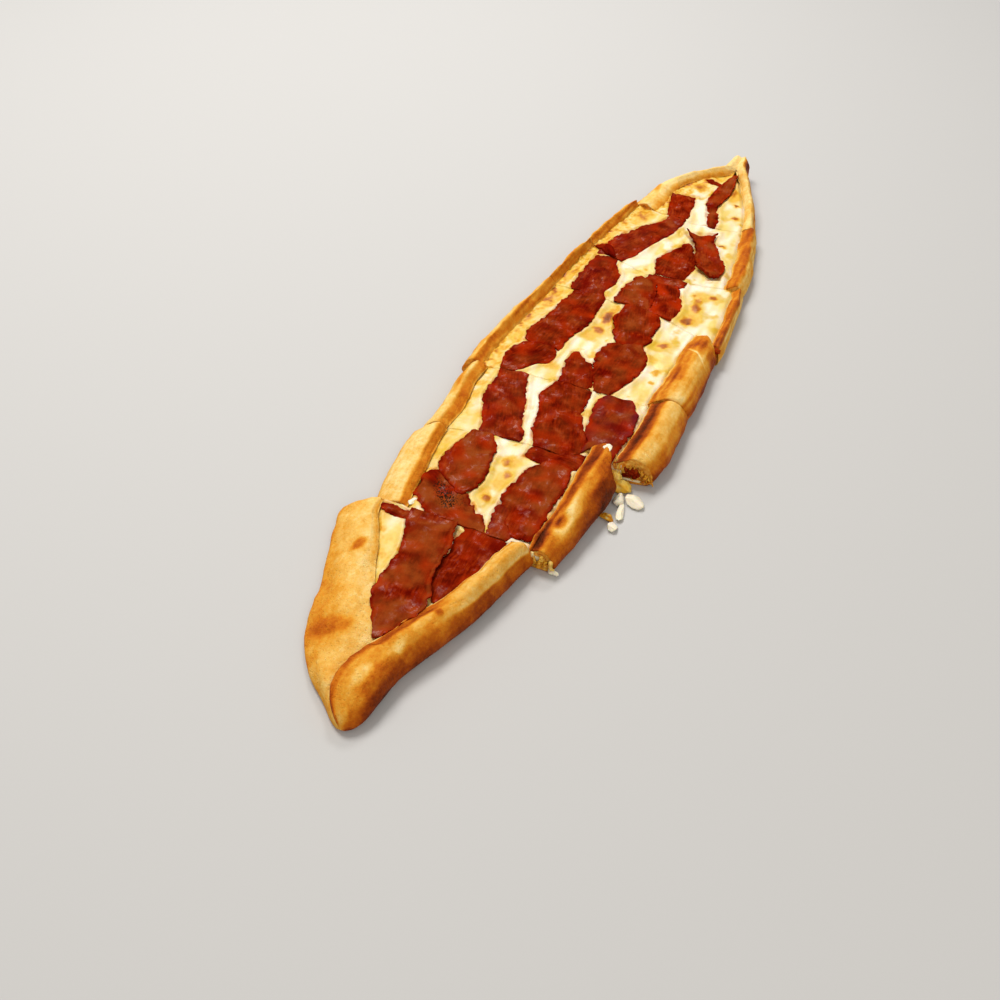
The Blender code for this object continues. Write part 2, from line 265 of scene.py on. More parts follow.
class Nodes:
    """A node tree that is being filled."""

    def __init__(self, tree: bpy.types.NodeTree) -> None:
        """Keep the tree that gets the nodes."""
        self.tree = tree

    def add(
        self, kind: str, inputs: dict | None = None, output: int | str = 0, **settings: object
    ) -> Socket:
        """Add a node.

        Args:
            kind: Its type, such as "Math".
            inputs: Names or numbers of inputs, each with a value or a socket to link.
            output: The name or number of the output that is asked for.
            settings: Properties of the node itself.

        Returns:
            The output.
        """
        item = self.tree.nodes.new("ShaderNode" + kind)
        for name, value in settings.items():
            setattr(item, name, value)
        self.fill(item, inputs or {})
        return item.outputs[output]

    def fill(self, item: bpy.types.Node, inputs: dict) -> None:
        """Link or set inputs of a node.

        Args:
            item: The node.
            inputs: Names or numbers of inputs, each with a value or a socket to link.
        """
        for key, value in inputs.items():
            if isinstance(value, Socket):
                self.tree.links.new(value, item.inputs[key])
            else:
                item.inputs[key].default_value = value

    def mark(self, name: str, output: str = "Fac") -> Socket:
        """Return a socket that reads an attribute of the mesh."""
        return self.add("Attribute", None, output, attribute_name=name)

    def maths(self, operation: str, *values: Socket | float, clamped: bool = False) -> Socket:
        """Return the result of a maths node."""
        return self.add("Math", dict(enumerate(values)), operation=operation, use_clamp=clamped)

    def times(self, first: Socket, second: Socket | float, clamped: bool = False) -> Socket:
        """Return a product."""
        return self.maths("MULTIPLY", first, second, clamped=clamped)

    def plus(self, first: Socket, second: Socket | float) -> Socket:
        """Return a sum."""
        return self.maths("ADD", first, second)

    def over(self, value: Socket, least: float, gain: float) -> Socket:
        """Return how far a value lies over a least one, times a gain, from 0 to 1."""
        return self.times(self.maths("SUBTRACT", value, least), gain, clamped=True)

    def blend(self, share: Socket, low: Socket | Triple, high: Socket | Triple) -> Socket:
        """Return a mix of two colours."""
        low, high = (item if isinstance(item, Socket) else (*item, 1.0) for item in (low, high))
        return self.add("Mix", {0: share, 6: low, 7: high}, 2, data_type="RGBA")

    def ramp(self, factor: Socket, stops: Sequence[tuple[float, Triple]]) -> Socket:
        """Read a colour from a ramp.

        Args:
            factor: Where to read it.
            stops: Places from 0 to 1, each with its linear colour.

        Returns:
            The colour.
        """
        colour = self.add("ValToRGB", {0: factor})
        elements = colour.node.color_ramp.elements
        for element, (where, tint) in zip(elements, (stops[0], stops[-1])):
            element.position, element.color = where, (*tint, 1.0)
        for where, tint in stops[1:-1]:
            elements.new(where).color = (*tint, 1.0)
        return colour

    def lumps(self, vector: Socket, scale: float, detail: float = 3.0) -> Socket:
        """Return noise from 0 to 1 at a scale per metre."""
        inputs = {"Vector": vector, "Scale": scale, "Detail": detail, "Roughness": NOISE_ROUGHNESS}
        return self.add("TexNoise", inputs)

    def cells(self, vector: Socket, scale: float) -> Socket:
        """Return the distance to the middle of scattered cells at a scale per metre."""
        return self.add("TexVoronoi", {"Vector": vector, "Scale": scale}, "Distance")

    def effect(self, group: bpy.types.NodeTree, vector: Socket, **inputs: Socket | float) -> Socket:
        """Return what a shared effect gives with this material's own values."""
        return self.add("Group", {"Vector": vector, **inputs}, node_tree=group)


class SharedEffects:
    """Node groups that more than one finish places with its own values."""

    blotches: tuple[tuple[str, float], ...] = (("Coarse", 95.0), ("Fine", 520.0))  # scales per metre
    pores: float = 620.0  # pores per metre
    pore_edge: float = 0.34  # how far from its middle a pore ends
    grain: float = 1500.0  # grains per metre

    def __init__(self) -> None:
        """Build each group once."""
        self.mottle = self.build("uneven_tone", ("Tone", "Coarse", "Fine"), self.fill_mottle)
        self.relief = self.build("fine_relief", ("Pores", "Grain"), self.fill_relief)

    @staticmethod
    def build(name: str, numbers: Sequence[str], fill: Callable) -> bpy.types.NodeTree:
        """Build a group that turns a vector and some numbers into one number.

        Args:
            name: The group's name.
            numbers: The names of the numbers that it takes.
            fill: The method that fills it and gives its result.

        Returns:
            The group.
        """
        tree = bpy.data.node_groups.new(name, "ShaderNodeTree")
        tree.interface.new_socket("Vector", in_out="INPUT", socket_type="NodeSocketVector")
        for number in numbers:
            tree.interface.new_socket(number, in_out="INPUT", socket_type="NodeSocketFloat")
        tree.interface.new_socket("Result", in_out="OUTPUT", socket_type="NodeSocketFloat")
        given = tree.nodes.new("NodeGroupInput").outputs
        tree.links.new(fill(Nodes(tree), given), tree.nodes.new("NodeGroupOutput").inputs["Result"])
        return tree

    def fill_mottle(self, nodes: Nodes, given: bpy.types.NodeOutputs) -> Socket:
        """Add coarse and fine blotches to a tone.

        Args:
            nodes: The group's nodes.
            given: What the group takes.

        Returns:
            The blotchy tone.
        """
        tone = given["Tone"]
        for amount, scale in self.blotches:
            cloud = nodes.maths("SUBTRACT", nodes.lumps(given["Vector"], scale, 4.0), 0.5)
            tone = nodes.plus(tone, nodes.times(cloud, given[amount]))
        return tone

    def fill_relief(self, nodes: Nodes, given: bpy.types.NodeOutputs) -> Socket:
        """Make a height from pores and fine grain.

        Args:
            nodes: The group's nodes.
            given: What the group takes.

        Returns:
            The height.
        """
        pits = nodes.cells(given["Vector"], self.pores)
        pits = nodes.ramp(pits, [(0.0, (0, 0, 0)), (self.pore_edge, (1, 1, 1))])
        grain = nodes.lumps(given["Vector"], self.grain, 4.0)
        return nodes.plus(nodes.times(pits, given["Pores"]), nodes.times(grain, given["Grain"]))


@dataclass(frozen=True)
class Surface:
    """Gloss, fine relief and how light sinks in."""

    gloss: tuple[Pair, Pair]  # two values of a pattern, and the roughness at each
    pores: float  # how much its pores show
    grain: float  # how much its grain shows
    depth: float  # depth of the relief in millimetres
    strength: float  # how much the relief is felt
    specular: float  # how much light its top reflects
    tint: Triple  # colour of that light
    soak: float  # share of the light that sinks in
    soak_colours: Triple  # how far red, green and blue sink in
    soak_depth: float  # how far that is in millimetres

    def dress(self, made: "Recipe", colour: Socket, pattern: Socket, *heights: Socket) -> None:
        """Link and set what the shader takes.

        Args:
            made: The material in the making.
            colour: The base colour.
            pattern: What the roughness follows.
            heights: What is added to the fine relief.
        """
        (low, high), (first, last) = self.gloss
        span = {"From Min": low, "From Max": high, "To Min": first, "To Max": last}
        height = made.effect(made.effects.relief, made.where, Pores=self.pores, Grain=self.grain)
        for extra in heights:
            height = made.plus(height, extra)
        bump = {"Height": height, "Distance": self.depth * MM, "Strength": self.strength}
        made.feed(
            {
                "Base Color": colour,
                "Roughness": made.add("MapRange", {"Value": pattern, **span}),
                "Normal": made.add("Bump", bump),
                "Specular IOR Level": self.specular,
                "Specular Tint": (*self.tint, 1.0),
                "Subsurface Weight": self.soak,
                "Subsurface Radius": self.soak_colours,
                "Subsurface Scale": self.soak_depth * MM,
            }
        )


class Recipe(Nodes):
    """One material in the making."""

    def __init__(self, name: str, effects: SharedEffects | None = None) -> None:
        """Start the material.

        Args:
            name: Its name.
            effects: The shared effects, if it uses them.
        """
        self.material = bpy.data.materials.new(name)
        self.material.use_nodes = True
        super().__init__(self.material.node_tree)
        self.where = self.add("TexCoord", None, "Object")
        self.effects = effects

    def feed(self, inputs: dict) -> None:
        """Link or set inputs of the shader."""
        self.fill(self.tree.nodes["Principled BSDF"], inputs)


@dataclass(frozen=True)
class BakedCrust:
    """Baked dough: pale gold to dark brown by its toast attribute, which also carries painted highlights
    and shade, with open crumb at the cuts.
    """

    tones: tuple = (
        (0.00, srgb(245, 214, 142)),
        (0.16, srgb(234, 184, 92)),
        (0.32, srgb(223, 154, 50)),
        (0.46, srgb(209, 124, 28)),
        (0.60, srgb(186, 94, 18)),
        (0.74, srgb(152, 64, 13)),
        (0.87, srgb(116, 43, 10)),
        (1.00, srgb(74, 27, 9)),
    )
    # crumb colours: the crumb's own cream and gold, partly warmed as painted warm light on cut faces that
    # lie in shade
    crumb: Triple = srgb(252, 200, 90)
    crumb_deep: Triple = srgb(224, 130, 32)
    torn_scale: float = 420.0  # lumps of torn crumb per metre
    surface: Surface = Surface(
        gloss=((0.2, 0.8), (0.72, 0.46)),
        pores=0.7,
        grain=0.9,
        depth=0.5,
        strength=0.9,
        specular=0.06,
        tint=(1.0, 0.72, 0.36),
        soak=0.12,
        soak_colours=(0.9, 0.4, 0.15),
        soak_depth=2.0,
    )

    def paint(self, made: Recipe) -> None:
        """Paint a material.

        Args:
            made: The material in the making.
        """
        toast = made.mark("toast")
        tone = made.effect(made.effects.mottle, made.where, Tone=toast, Coarse=0.30, Fine=0.34)
        torn = made.over(made.lumps(made.where, self.torn_scale), 0.36, 3.2)
        inside = made.blend(torn, self.crumb_deep, self.crumb)
        colour = made.blend(made.mark("crumb"), made.ramp(tone, self.tones), inside)
        self.surface.dress(made, colour, tone)


@dataclass(frozen=True)
class MeltedCheese:
    """Melted cheese: cream, whiter streaks, oily yellow patches, toasted blisters and red oil."""

    cream: Triple = srgb(228, 205, 126)
    yellow: Triple = srgb(222, 189, 80)
    white: Triple = srgb(240, 231, 207)
    olive: Triple = srgb(212, 172, 36)
    oil: Triple = srgb(204, 120, 30)
    toast: tuple = (
        (0.00, srgb(232, 197, 84)),
        (0.40, srgb(214, 157, 34)),
        (0.70, srgb(178, 96, 8)),
        (1.00, srgb(116, 52, 4)),
    )
    patch_scale: float = 85.0  # patches per metre
    surface: Surface = Surface(
        gloss=((0.3, 0.7), (0.30, 0.50)),
        pores=0.1,
        grain=0.5,
        depth=0.2,
        strength=0.25,
        specular=0.3,
        tint=(1.0, 0.88, 0.62),
        soak=0.35,
        soak_colours=(1.0, 0.7, 0.3),
        soak_depth=1.2,
    )

    def paint(self, made: Recipe) -> None:
        """Paint a material.

        Args:
            made: The material in the making.
        """
        toast = made.mark("toast")
        patches = made.lumps(made.where, self.patch_scale)
        white = made.mark("white")
        streaks = made.effect(made.effects.mottle, made.where, Tone=white, Coarse=0.35, Fine=0.12)
        brown = made.effect(made.effects.mottle, made.where, Tone=toast, Coarse=0.0, Fine=0.45)
        colour = made.blend(made.over(patches, 0.40, 2.4), self.cream, self.yellow)
        for share, tint in (
            (streaks, self.white),
            (made.times(made.mark("olive"), made.plus(patches, 0.35), clamped=True), self.olive),
            (made.times(toast, 3.6, clamped=True), made.ramp(brown, self.toast)),
            (made.mark("oil"), self.oil),
        ):
            colour = made.blend(share, colour, tint)
        self.surface.dress(made, colour, patches)


@dataclass(frozen=True)
class CuredBeef:
    """Thin cured beef: fibres along the slice, a painted tan sheen, dark frilled rim, orange oil with a
    painted red-orange highlight, and a painted purple sheen.
    """

    fibres: tuple = (
        (0.30, srgb(84, 7, 2)),
        (0.44, srgb(110, 18, 3)),
        (0.58, srgb(130, 31, 4)),
        (0.78, srgb(154, 56, 12)),
    )
    # painted tan sheen, mixed in by cloudy patches over the middle of each slice
    haze: Triple = srgb(142, 64, 22)
    rim: Triple = srgb(108, 12, 4)
    # orange-red oil, partly a painted red-orange highlight along the thin rims
    glow: Triple = srgb(172, 42, 4)
    # painted purple sheen, strongest near the rims
    purple: Triple = srgb(100, 26, 34)
    pepper: Triple = srgb(38, 26, 16)
    coat_roughness: float = 0.2
    fibre_stretch: Triple = (0.16, 1.0, 1.0)  # along the fibres, across them and through
    fibre_scale: float = 900.0  # all scales are per metre
    cloud_scale: float = 130.0
    pepper_scale: float = 1250.0
    pucker_scale: float = 330.0
    oil_scale: float = 420.0
    surface: Surface = Surface(
        gloss=((0.35, 0.65), (0.28, 0.50)),
        pores=0.0,
        grain=0.4,
        depth=0.5,
        strength=0.7,
        specular=0.0,
        tint=(1.0, 1.0, 1.0),
        soak=0.06,
        soak_colours=(1.0, 0.15, 0.05),
        soak_depth=1.5,
    )

    def paint(self, made: Recipe) -> None:
        """Paint a material.

        Args:
            made: The material in the making.
        """
        stretch = {0: made.mark("grain", "Vector"), 1: self.fibre_stretch}
        stretched = made.add("VectorMath", stretch, operation="MULTIPLY")
        strands = made.lumps(stretched, self.fibre_scale, 5.0)
        clouds = made.lumps(made.where, self.cloud_scale, 4.0)
        tone = made.plus(made.times(strands, 0.9), made.times(clouds, 1.3))
        colour = made.ramp(made.maths("SUBTRACT", tone, 0.6), self.fibres)
        pepper = made.mark("pepper")
        specks = made.cells(made.where, self.pepper_scale)
        specks = made.maths("LESS_THAN", specks, made.times(pepper, 0.5))
        for share, tint in (
            # painted tan sheen
            (made.times(made.mark("haze"), made.times(clouds, 1.7), clamped=True), self.haze),
            # painted purple sheen
            (made.mark("purple"), self.purple),
            # orange-red oil, partly a painted highlight at the rims
            (made.mark("glow"), self.glow),
            (made.mark("rim"), self.rim),
            (made.times(specks, pepper, clamped=True), self.pepper),
        ):
            colour = made.blend(share, colour, tint)
        puckers = made.lumps(made.where, self.pucker_scale)
        heights = made.times(strands, 0.7), made.times(puckers, 2.2)
        self.surface.dress(made, colour, clouds, *heights)
        drops = made.lumps(made.where, self.oil_scale, 2.0)
        oily = made.times(made.over(clouds, 0.5, 3.0), made.times(drops, 0.5))
        made.feed({"Coat Weight": oily, "Coat Roughness": self.coat_roughness})


class Stuff(Enum):
    """What a piece is made of, by the record's material slot."""

    CRUST = "baked_crust"
    CHEESE = "melted_cheese"
    BEEF = "cured_beef"

    def material(self, effects: SharedEffects) -> bpy.types.Material:
        """Build its finish.

        Args:
            effects: The shared effects.

        Returns:
            The material.
        """
        made = Recipe(self.value, effects)
        {Stuff.CRUST: BakedCrust, Stuff.CHEESE: MeltedCheese, Stuff.BEEF: CuredBeef}[self]().paint(made)
        return made.material


Finishes = dict[Stuff, bpy.types.Material]
MARKS = {
    Stuff.CRUST: ("toast", "crumb"),
    Stuff.CHEESE: ("white", "toast", "olive", "oil"),
    # beef marks: painted tan sheen, painted purple sheen, orange oil with a painted highlight, dark rim,
    # pepper
    Stuff.BEEF: ("haze", "purple", "glow", "rim", "pepper"),
}


def add_object(name: str, data: bpy.types.ID) -> bpy.types.Object:
    """Link a new object to the scene.

    Args:
        name: Its name.
        data: Its mesh, camera or lamp.

    Returns:
        The object.
    """
    item = bpy.data.objects.new(name, data)
    bpy.context.scene.collection.objects.link(item)
    return item


class Piece:
    """A mesh in the making, with the attributes that its finish reads."""

    def __init__(self, name: str, stuff: Stuff) -> None:
        """Start an empty piece."""
        self.name, self.stuff, self.mesh = name, stuff, bmesh.new()
        self.marks = {mark: self.mesh.verts.layers.float.new(mark) for mark in MARKS[stuff]}

    def mark(self, vert: Vertex, **values: float) -> None:
        """Set attributes of a vertex, each kept between 0 and 1."""
        for name, value in values.items():
            vert[self.marks[name]] = clamp(value)

    def grid(self, columns: int, rows: int) -> list[tuple[Vertex, int, int]]:
        """Add a grid to the mesh.

        Args:
            columns: Its faces across.
            rows: Its faces along.

        Returns:
            Each vertex with its column and row number.
        """
        made = bmesh.ops.create_grid(self.mesh, x_segments=columns, y_segments=rows, size=1.0)
        return [
            (vert, round((vert.co.x + 1.0) * 0.5 * columns), round((vert.co.y + 1.0) * 0.5 * rows))
            for vert in made["verts"]
        ]

    def finish(self, finishes: Finishes, *nodes: str) -> bpy.types.Object:
        """Turn the mesh into a smooth piece that rides on the pide.

        Args:
            finishes: The material of each stuff.
            nodes: The solids that the piece stands for.

        Returns:
            The linked object.
        """
        bmesh.ops.remove_doubles(self.mesh, verts=self.mesh.verts, dist=WELD)
        bmesh.ops.recalc_face_normals(self.mesh, faces=self.mesh.faces)
        data = bpy.data.meshes.new(self.name)
        self.mesh.to_mesh(data)
        self.mesh.free()
        data.shade_smooth()
        data.materials.append(finishes[self.stuff])
        item = add_object(self.name, data)
        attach(item, "root")
        if nodes:
            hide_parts(*nodes)
        LOG.info("%s: %d vertices", self.name, len(data.vertices))
        return item


# ------------------------------------------------------------------ shape of the bread


@dataclass(frozen=True)
class Station:
    """Widths and heights of the pide at one place along its length."""

    y: float
    left: float  # outer edge of the left side
    right: float  # outer edge of the right side
    left_flap: float  # how far the left flap folds in
    right_flap: float
    left_rise: float  # height of the left flap
    right_rise: float
    lift: float = 0.0  # height of the underside

    @property
    def opening(self) -> float:
        """Return the width between the two lips, below zero where they overlap."""
        return self.right - self.right_flap - self.left - self.left_flap


def stations(*rows: tuple[float, ...]) -> tuple[Station, ...]:
    """Return stations from rows of their sizes."""
    return tuple(Station(*row) for row in rows)


def between(y: float, stations: Sequence[Station], name: str) -> float:
    """Read one size by a smooth curve through the stations.

    Args:
        y: Where to read it.
        stations: The stations, from near to far.
        name: The size's name.

    Returns:
        The size there.
    """
    if y <= stations[0].y:
        return getattr(stations[0], name)
    if y >= stations[-1].y:
        return getattr(stations[-1], name)
    window = around(stations, max(i for i, station in enumerate(stations[:-1]) if station.y <= y))
    start, here, there, end = (station.y for station in window)
    before, low, high, after = (getattr(station, name) for station in window)
    span = there - here
    step = (y - here) / span
    slope_low = (high - before) / (there - start) * span
    slope_high = (after - low) / (end - here) * span
    square = step * step
    cube = square * step
    return (
        (2 * cube - 3 * square + 1) * low
        + (cube - 2 * square + step) * slope_low
        + (3 * square - 2 * cube) * high
        + (cube - square) * slope_high
    )


@dataclass(frozen=True)
class Cut:
    """Line of a knife cut or of a tip, given on the left, in the middle and on the right."""

    left: float
    middle: float
    right: float
    bend: Triple = (0.0, 1.0, 0.0)  # where the line bends, over what half width and how far
    corner: float = 0.0  # how far the outer right corner is torn back
    reach: float = 60.0  # how far out the left and the right are given
    corner_run: Pair = (39.0, 47.0)  # from where to where across the corner is torn

    def at(self, x: float) -> float:
        """Read the line.

        Args:
            x: Where to read it.

        Returns:
            y of the cut there.
        """
        side = clamp(x / self.reach, -1.0, 1.0)
        edge = self.left if side < 0 else self.right
        waver = uneven(x, self.middle, 0.0, (0.5, 9.0, 14.0), (0.25, 3.5, 15.0))
        waver += self.bend[2] * clamp(1.0 - ((x - self.bend[0]) / self.bend[1]) ** 2) ** 2
        torn = self.corner * ease(*self.corner_run, x)
        return self.middle + (edge - self.middle) * side * side + waver - torn


@dataclass(frozen=True)
class Fold:
    """How a flap of dough is folded over, and how brown it is from its lip down to its foot, with painted
    highlights and shade partly in that tone.
    """

    crest: float  # where its highest line lies, as a share of the flap's width
    plump: float  # 0 for a flat sheet, 1 for a round roll
    lip: float  # height of its free edge above the filling
    # browning from lip to foot, partly painted light: a pale first stop at the lip is a painted highlight
    # line, pale bands near the crest are partly painted highlight, and the darkest outer foot is partly
    # painted shade
    tones: Tones
    dip: float = 0.0  # how deep a valley lies behind the free edge

    def profile(self, flap: float, rise: float, closeness: float) -> list[Pair]:
        """Draw the outside of the flap.

        Args:
            flap: How far it folds in.
            rise: Its height.
            closeness: 1 where it closes on the other flap, which lifts its lip.

        Returns:
            Insets and heights from the foot to the lip.
        """
        nose = min(FILL + SEAM + self.lip, 0.92 * rise)
        nose = mix(nose, max(nose, 0.80 * rise), closeness)
        foot = min(FOOT, 0.4 * flap)
        ridge = self.crest * flap
        fall = rise - nose
        plump = self.plump
        return [
            (foot + 1.0, 0.0),
            (foot, 0.0),
            (0.28 * foot, 0.13 * rise),
            (0.0, mix(0.32, 0.42, plump) * rise),
            (mix(0.30, 0.17, plump) * ridge, mix(0.58, 0.74, plump) * rise),
            (mix(0.64, 0.50, plump) * ridge, mix(0.85, 0.94, plump) * rise),
            (ridge, rise),
            (mix(ridge, flap, 0.42), rise - mix(0.40, 0.22, plump) * fall - 0.6 * self.dip),
            (mix(ridge, flap, 0.78), rise - mix(0.76, 0.62, plump) * fall - self.dip),
            (flap - 0.8, nose + 0.1 + 0.25 * self.dip),
            (flap - 0.1, nose - 0.35),
        ]


@dataclass(frozen=True)
class Side:
    """The folds at the near and the far part of one side, and where one turns into the other."""

    near: Fold
    far: Fold | None = None
    change: Pair = (0.0, 1.0)

    def turned(self, y: float, margin: float = 0.0) -> float:
        """Return how much of the far fold is felt at y."""
        return ease(self.change[0] - margin, self.change[1] + margin, y) if self.far else 0.0

    def profile(self, y: float, *sizes: float) -> list[Pair]:
        """Draw the outside of the flap.

        Args:
            y: Where it is cut through.
            sizes: What a fold's profile takes.

        Returns:
            Insets and heights from the foot to the lip.
        """
        share = self.turned(y, 14.0)
        near = self.near.profile(*sizes)
        if not share:
            return near
        return [mix_pair(low, high, share) for low, high in zip(near, self.far.profile(*sizes))]

    def tone(self, y: float, share: float) -> float:
        """Return how brown the side is at y, a share of the way from the lip to the foot, painted
        highlights and shade included.
        """
        near = steps(self.near.tones, share)
        return mix(near, steps(self.far.tones, share), self.turned(y)) if self.far else near


@dataclass(frozen=True)
class Spot:
    """A toasted or pale patch on top of the bread or the cheese."""

    x: float
    y: float
    across: float  # half its width
    along: float  # half its length
    tone: float  # how much browner, or paler below zero
    turn: float = 0.0  # degrees clockwise from the pide's length
    bulge: float = 0.0  # how far it stands up

    def strength(self, x: float, y: float, spread: float = 1.0) -> float:
        """Tell how much of the spot is felt at a place.

        Args:
            x: Place across the pide.
            y: Place along it.
            spread: How many times wider than the spot it is felt.

        Returns:
            A share from 0 to 1.
        """
        off_x, off_y, turn = x - self.x, y - self.y, radians(self.turn)
        side = (off_x * cos(turn) - off_y * sin(turn)) / self.across
        run = (off_x * sin(turn) + off_y * cos(turn)) / self.along
        far = (side * side + run * run) / spread**2
        return exp(-far * far) if far < 4.0 else 0.0


def spots(*rows: tuple[float, ...]) -> tuple[Spot, ...]:
    """Return spots from rows of their sizes."""
    return tuple(Spot(*row) for row in rows)


class Tip(Enum):
    """Which end of a slice is a closed tip of the pide."""

    NONE = 0
    NEAR = 1
    FAR = 2


@dataclass
class BreadSlice:
    """The crust of one crosswise slice, with its folded flaps and its cut faces."""

    number: int
    near: Cut
    far: Cut
    stations: tuple[Station, ...]
    left_side: Side
    right_side: Side
    spots: tuple[Spot, ...] = ()
    tip: Tip = Tip.NONE
    wander: float = 1.0  # how much its free edges wander
    row_step: float = 0.85  # length of one row of faces
    around: int = 46  # faces from lip to foot
    under: int = 26  # faces across the underside
    deep: int = 16  # faces through the dough at a cut
    spot_floor: float = 5.0  # height above which the dough takes its spots
    under_tone: float = 0.55  # how brown the underside is
    hidden_tone: float = 0.2  # how brown dough is that the filling hides
    torn_depth: float = 1.5  # depth of the hollows in torn crumb

    @property
    def length(self) -> float:
        """Return the length along the middle."""
        return self.row_y(1.0, 0.0) - self.row_y(0.0, 0.0)

    def row_y(self, share: float, x: float) -> float:
        """Return y at x on the row that lies at a share of the way through the slice."""
        near = self.near.at(x) + KNIFE
        return near + (self.far.at(x) - KNIFE - near) * share

    def section(self, share: float) -> Station:
        """Read the sizes on a row, each side where it lies.

        Args:
            share: How far through the slice the row lies.

        Returns:
            The sizes.
        """
        sizes: dict[str, float] = {}
        for side in ("left", "right"):
            x = between(self.row_y(share, 0.0), self.stations, side)
            for _ in range(3):
                y = self.row_y(share, x)
                x = between(y, self.stations, side)
            sizes[side] = x
            for size in (side + "_flap", side + "_rise"):
                sizes[size] = between(y, self.stations, size)
        middle = self.row_y(share, 0.0)
        return Station(middle, lift=max(0.0, between(middle, self.stations, "lift")), **sizes)

    def walls(self, size: Station) -> Pair:
        """Return x of the left and of the right side of the filling."""
        left, right = (max(LEAST_WALL, flap - UNDERCUT) for flap in (size.left_flap, size.right_flap))
        return size.left + left, size.right - right

    def waved(self, flap: float, y: float, side: float) -> float:
        """Return how far a flap folds in where its free edge wanders."""
        wave = uneven(y, side * 9.0, 0.0, (0.7, 13.0, 2.0), (0.35, 4.5, 4.0))
        return flap + self.wander * wave * ease(3.0, 9.0, flap)

    def outline(self, share: float) -> tuple[list[Pair], list[Pair]]:
        """Draw the dough on a row.

        Args:
            share: How far through the slice the row lies.

        Returns:
            The outside and the inside, as x and z from lip to lip.
        """
        size = self.section(share)
        closed = size.opening < CLOSED
        y = self.row_y(share, size.right)
        flap = self.waved(size.right_flap, y, 1.0)
        closeness = 1.0 - ease(0.0, 12.0, size.opening)
        right = self.right_side.profile(y, flap, size.right_rise, closeness)
        right = [(size.right - inset, z) for inset, z in right]
        right_lip = size.right - flap
        crease = (right_lip + CREASE, 0.80 * min(size.left_rise, size.right_rise))
        y = self.row_y(share, size.left)
        flap = crease[0] - size.left if closed else self.waved(size.left_flap, y, -1.0)
        left = self.left_side.profile(y, flap, size.left_rise, 0.0)
        left = [(size.left + inset, z) for inset, z in left]
        if closed:
            left[-1] = (size.left + flap, crease[1])
            right += [(right_lip + 0.5, mix(crease[1], right[-1][1], 0.35)), crease]
        left, right = even_curve(left, self.around), even_curve(right, self.around)
        outer = left[::-1] + broken_line([left[0], right[0]], self.under)[1:-1] + right
        inner = [crease] * len(outer) if closed else self.inside(size, left[-1], right[-1])
        centre = 0.5 * (size.left + size.right), 0.4 * size.right_rise
        shrink = self.tip_shrink(share)
        drawn = [[mix_pair(centre, point, shrink) for point in line] for line in (outer, inner)]
        return tuple([(x, z + size.lift) for x, z in line] for line in drawn)

    def inside(self, size: Station, left_lip: Pair, right_lip: Pair) -> list[Pair]:
        """Draw the inside of the dough round the filling.

        Args:
            size: The sizes on the row.
            left_lip: Where the left outside ends.
            right_lip: Where the right outside ends.

        Returns:
            The points from the left lip to the right lip.
        """
        roof = FILL + SEAM
        sides = [
            broken_line([lip, (lip[0] + step, roof + 0.1), (wall, roof), (wall, BASE)], self.around)
            for lip, step, wall in zip((left_lip, right_lip), (-0.9, 0.9), self.walls(size))
        ]
        floor = broken_line([sides[0][-1], sides[1][-1]], self.under)
        return sides[0] + floor[1:-1] + sides[1][::-1]

    def tip_shrink(self, share: float) -> float:
        """Tell how far a row near a closed tip is drawn in.

        Args:
            share: How far through the slice the row lies.

        Returns:
            The share of its size that is left.
        """
        if self.tip is Tip.NONE:
            return 1.0
        away = (share if self.tip is Tip.NEAR else 1.0 - share) * self.length
        inwards = clamp(1.0 - away / TIP_RADIUS)
        return sqrt(1.0 - inwards * inwards)

    def swell(self, *at: float) -> float:
        """Tell how far the baked surface stands out.

        Args:
            at: x, y and z of the place.

        Returns:
            The distance.
        """
        broad, lump = 1.1 * rough(*at, 17.0, self.number), 0.62 * rough(*at, 7.0, 3.0)
        fine = uneven(*at, (0.22, 2.8, 7.0), (0.10, 1.3, 11.0))
        bulge = sum(spot.bulge * spot.strength(*at[:2]) for spot in self.spots if spot.bulge)
        return ease(1.0, 6.0, at[2]) * (broad + lump + fine + bulge)

    def toast(self, side: Side, share: float, x: float, y: float, z: float) -> float:
        """Tell how brown the baked surface is, painted highlights and shade of its folds included.

        Args:
            side: The side that the place lies on.
            share: How far from the lip to the foot, and over 1 under the foot.
            x: Place across the pide.
            y: Place along it.
            z: Its height.

        Returns:
            The tone.
        """
        tone = side.tone(y, clamp(share)) + uneven(x, y, z, (0.11, 15.0, 5.0), (0.08, 5.0, 9.0))
        tone += 0.065 * self.wander**2 * smooth_noise(x / 2.2, y / 26.0, z / 2.2 + 17.0)
        if z > self.spot_floor:
            tone += sum(spot.tone * spot.strength(x, y) for spot in self.spots)
        return mix(clamp(tone), self.under_tone, 0.6) if share > 1.0 else clamp(tone)

    def build(self, finishes: Finishes) -> bpy.types.Object:
        """Build and dress the crust of the slice.

        Args:
            finishes: The material of each stuff.

        Returns:
            The piece.
        """
        rows = max(8, round(self.length / self.row_step))
        columns = 2 * self.around + self.under
        tables = [self.displaced_row(row / rows) for row in range(rows + 1)]
        piece = Piece(f"bread_slice_{self.number}", Stuff.CRUST)
        for face in (0, 1):
            for vert, column, row in piece.grid(columns, rows):
                vert.co, tone = tables[row][face][column]
                piece.mark(vert, toast=tone)
        for row, outward in ((0, -1.0), (rows, 1.0)):
            self.close_cut(piece, tables[row], columns, outward)
        return piece.finish(finishes, f"crust_{self.number}")

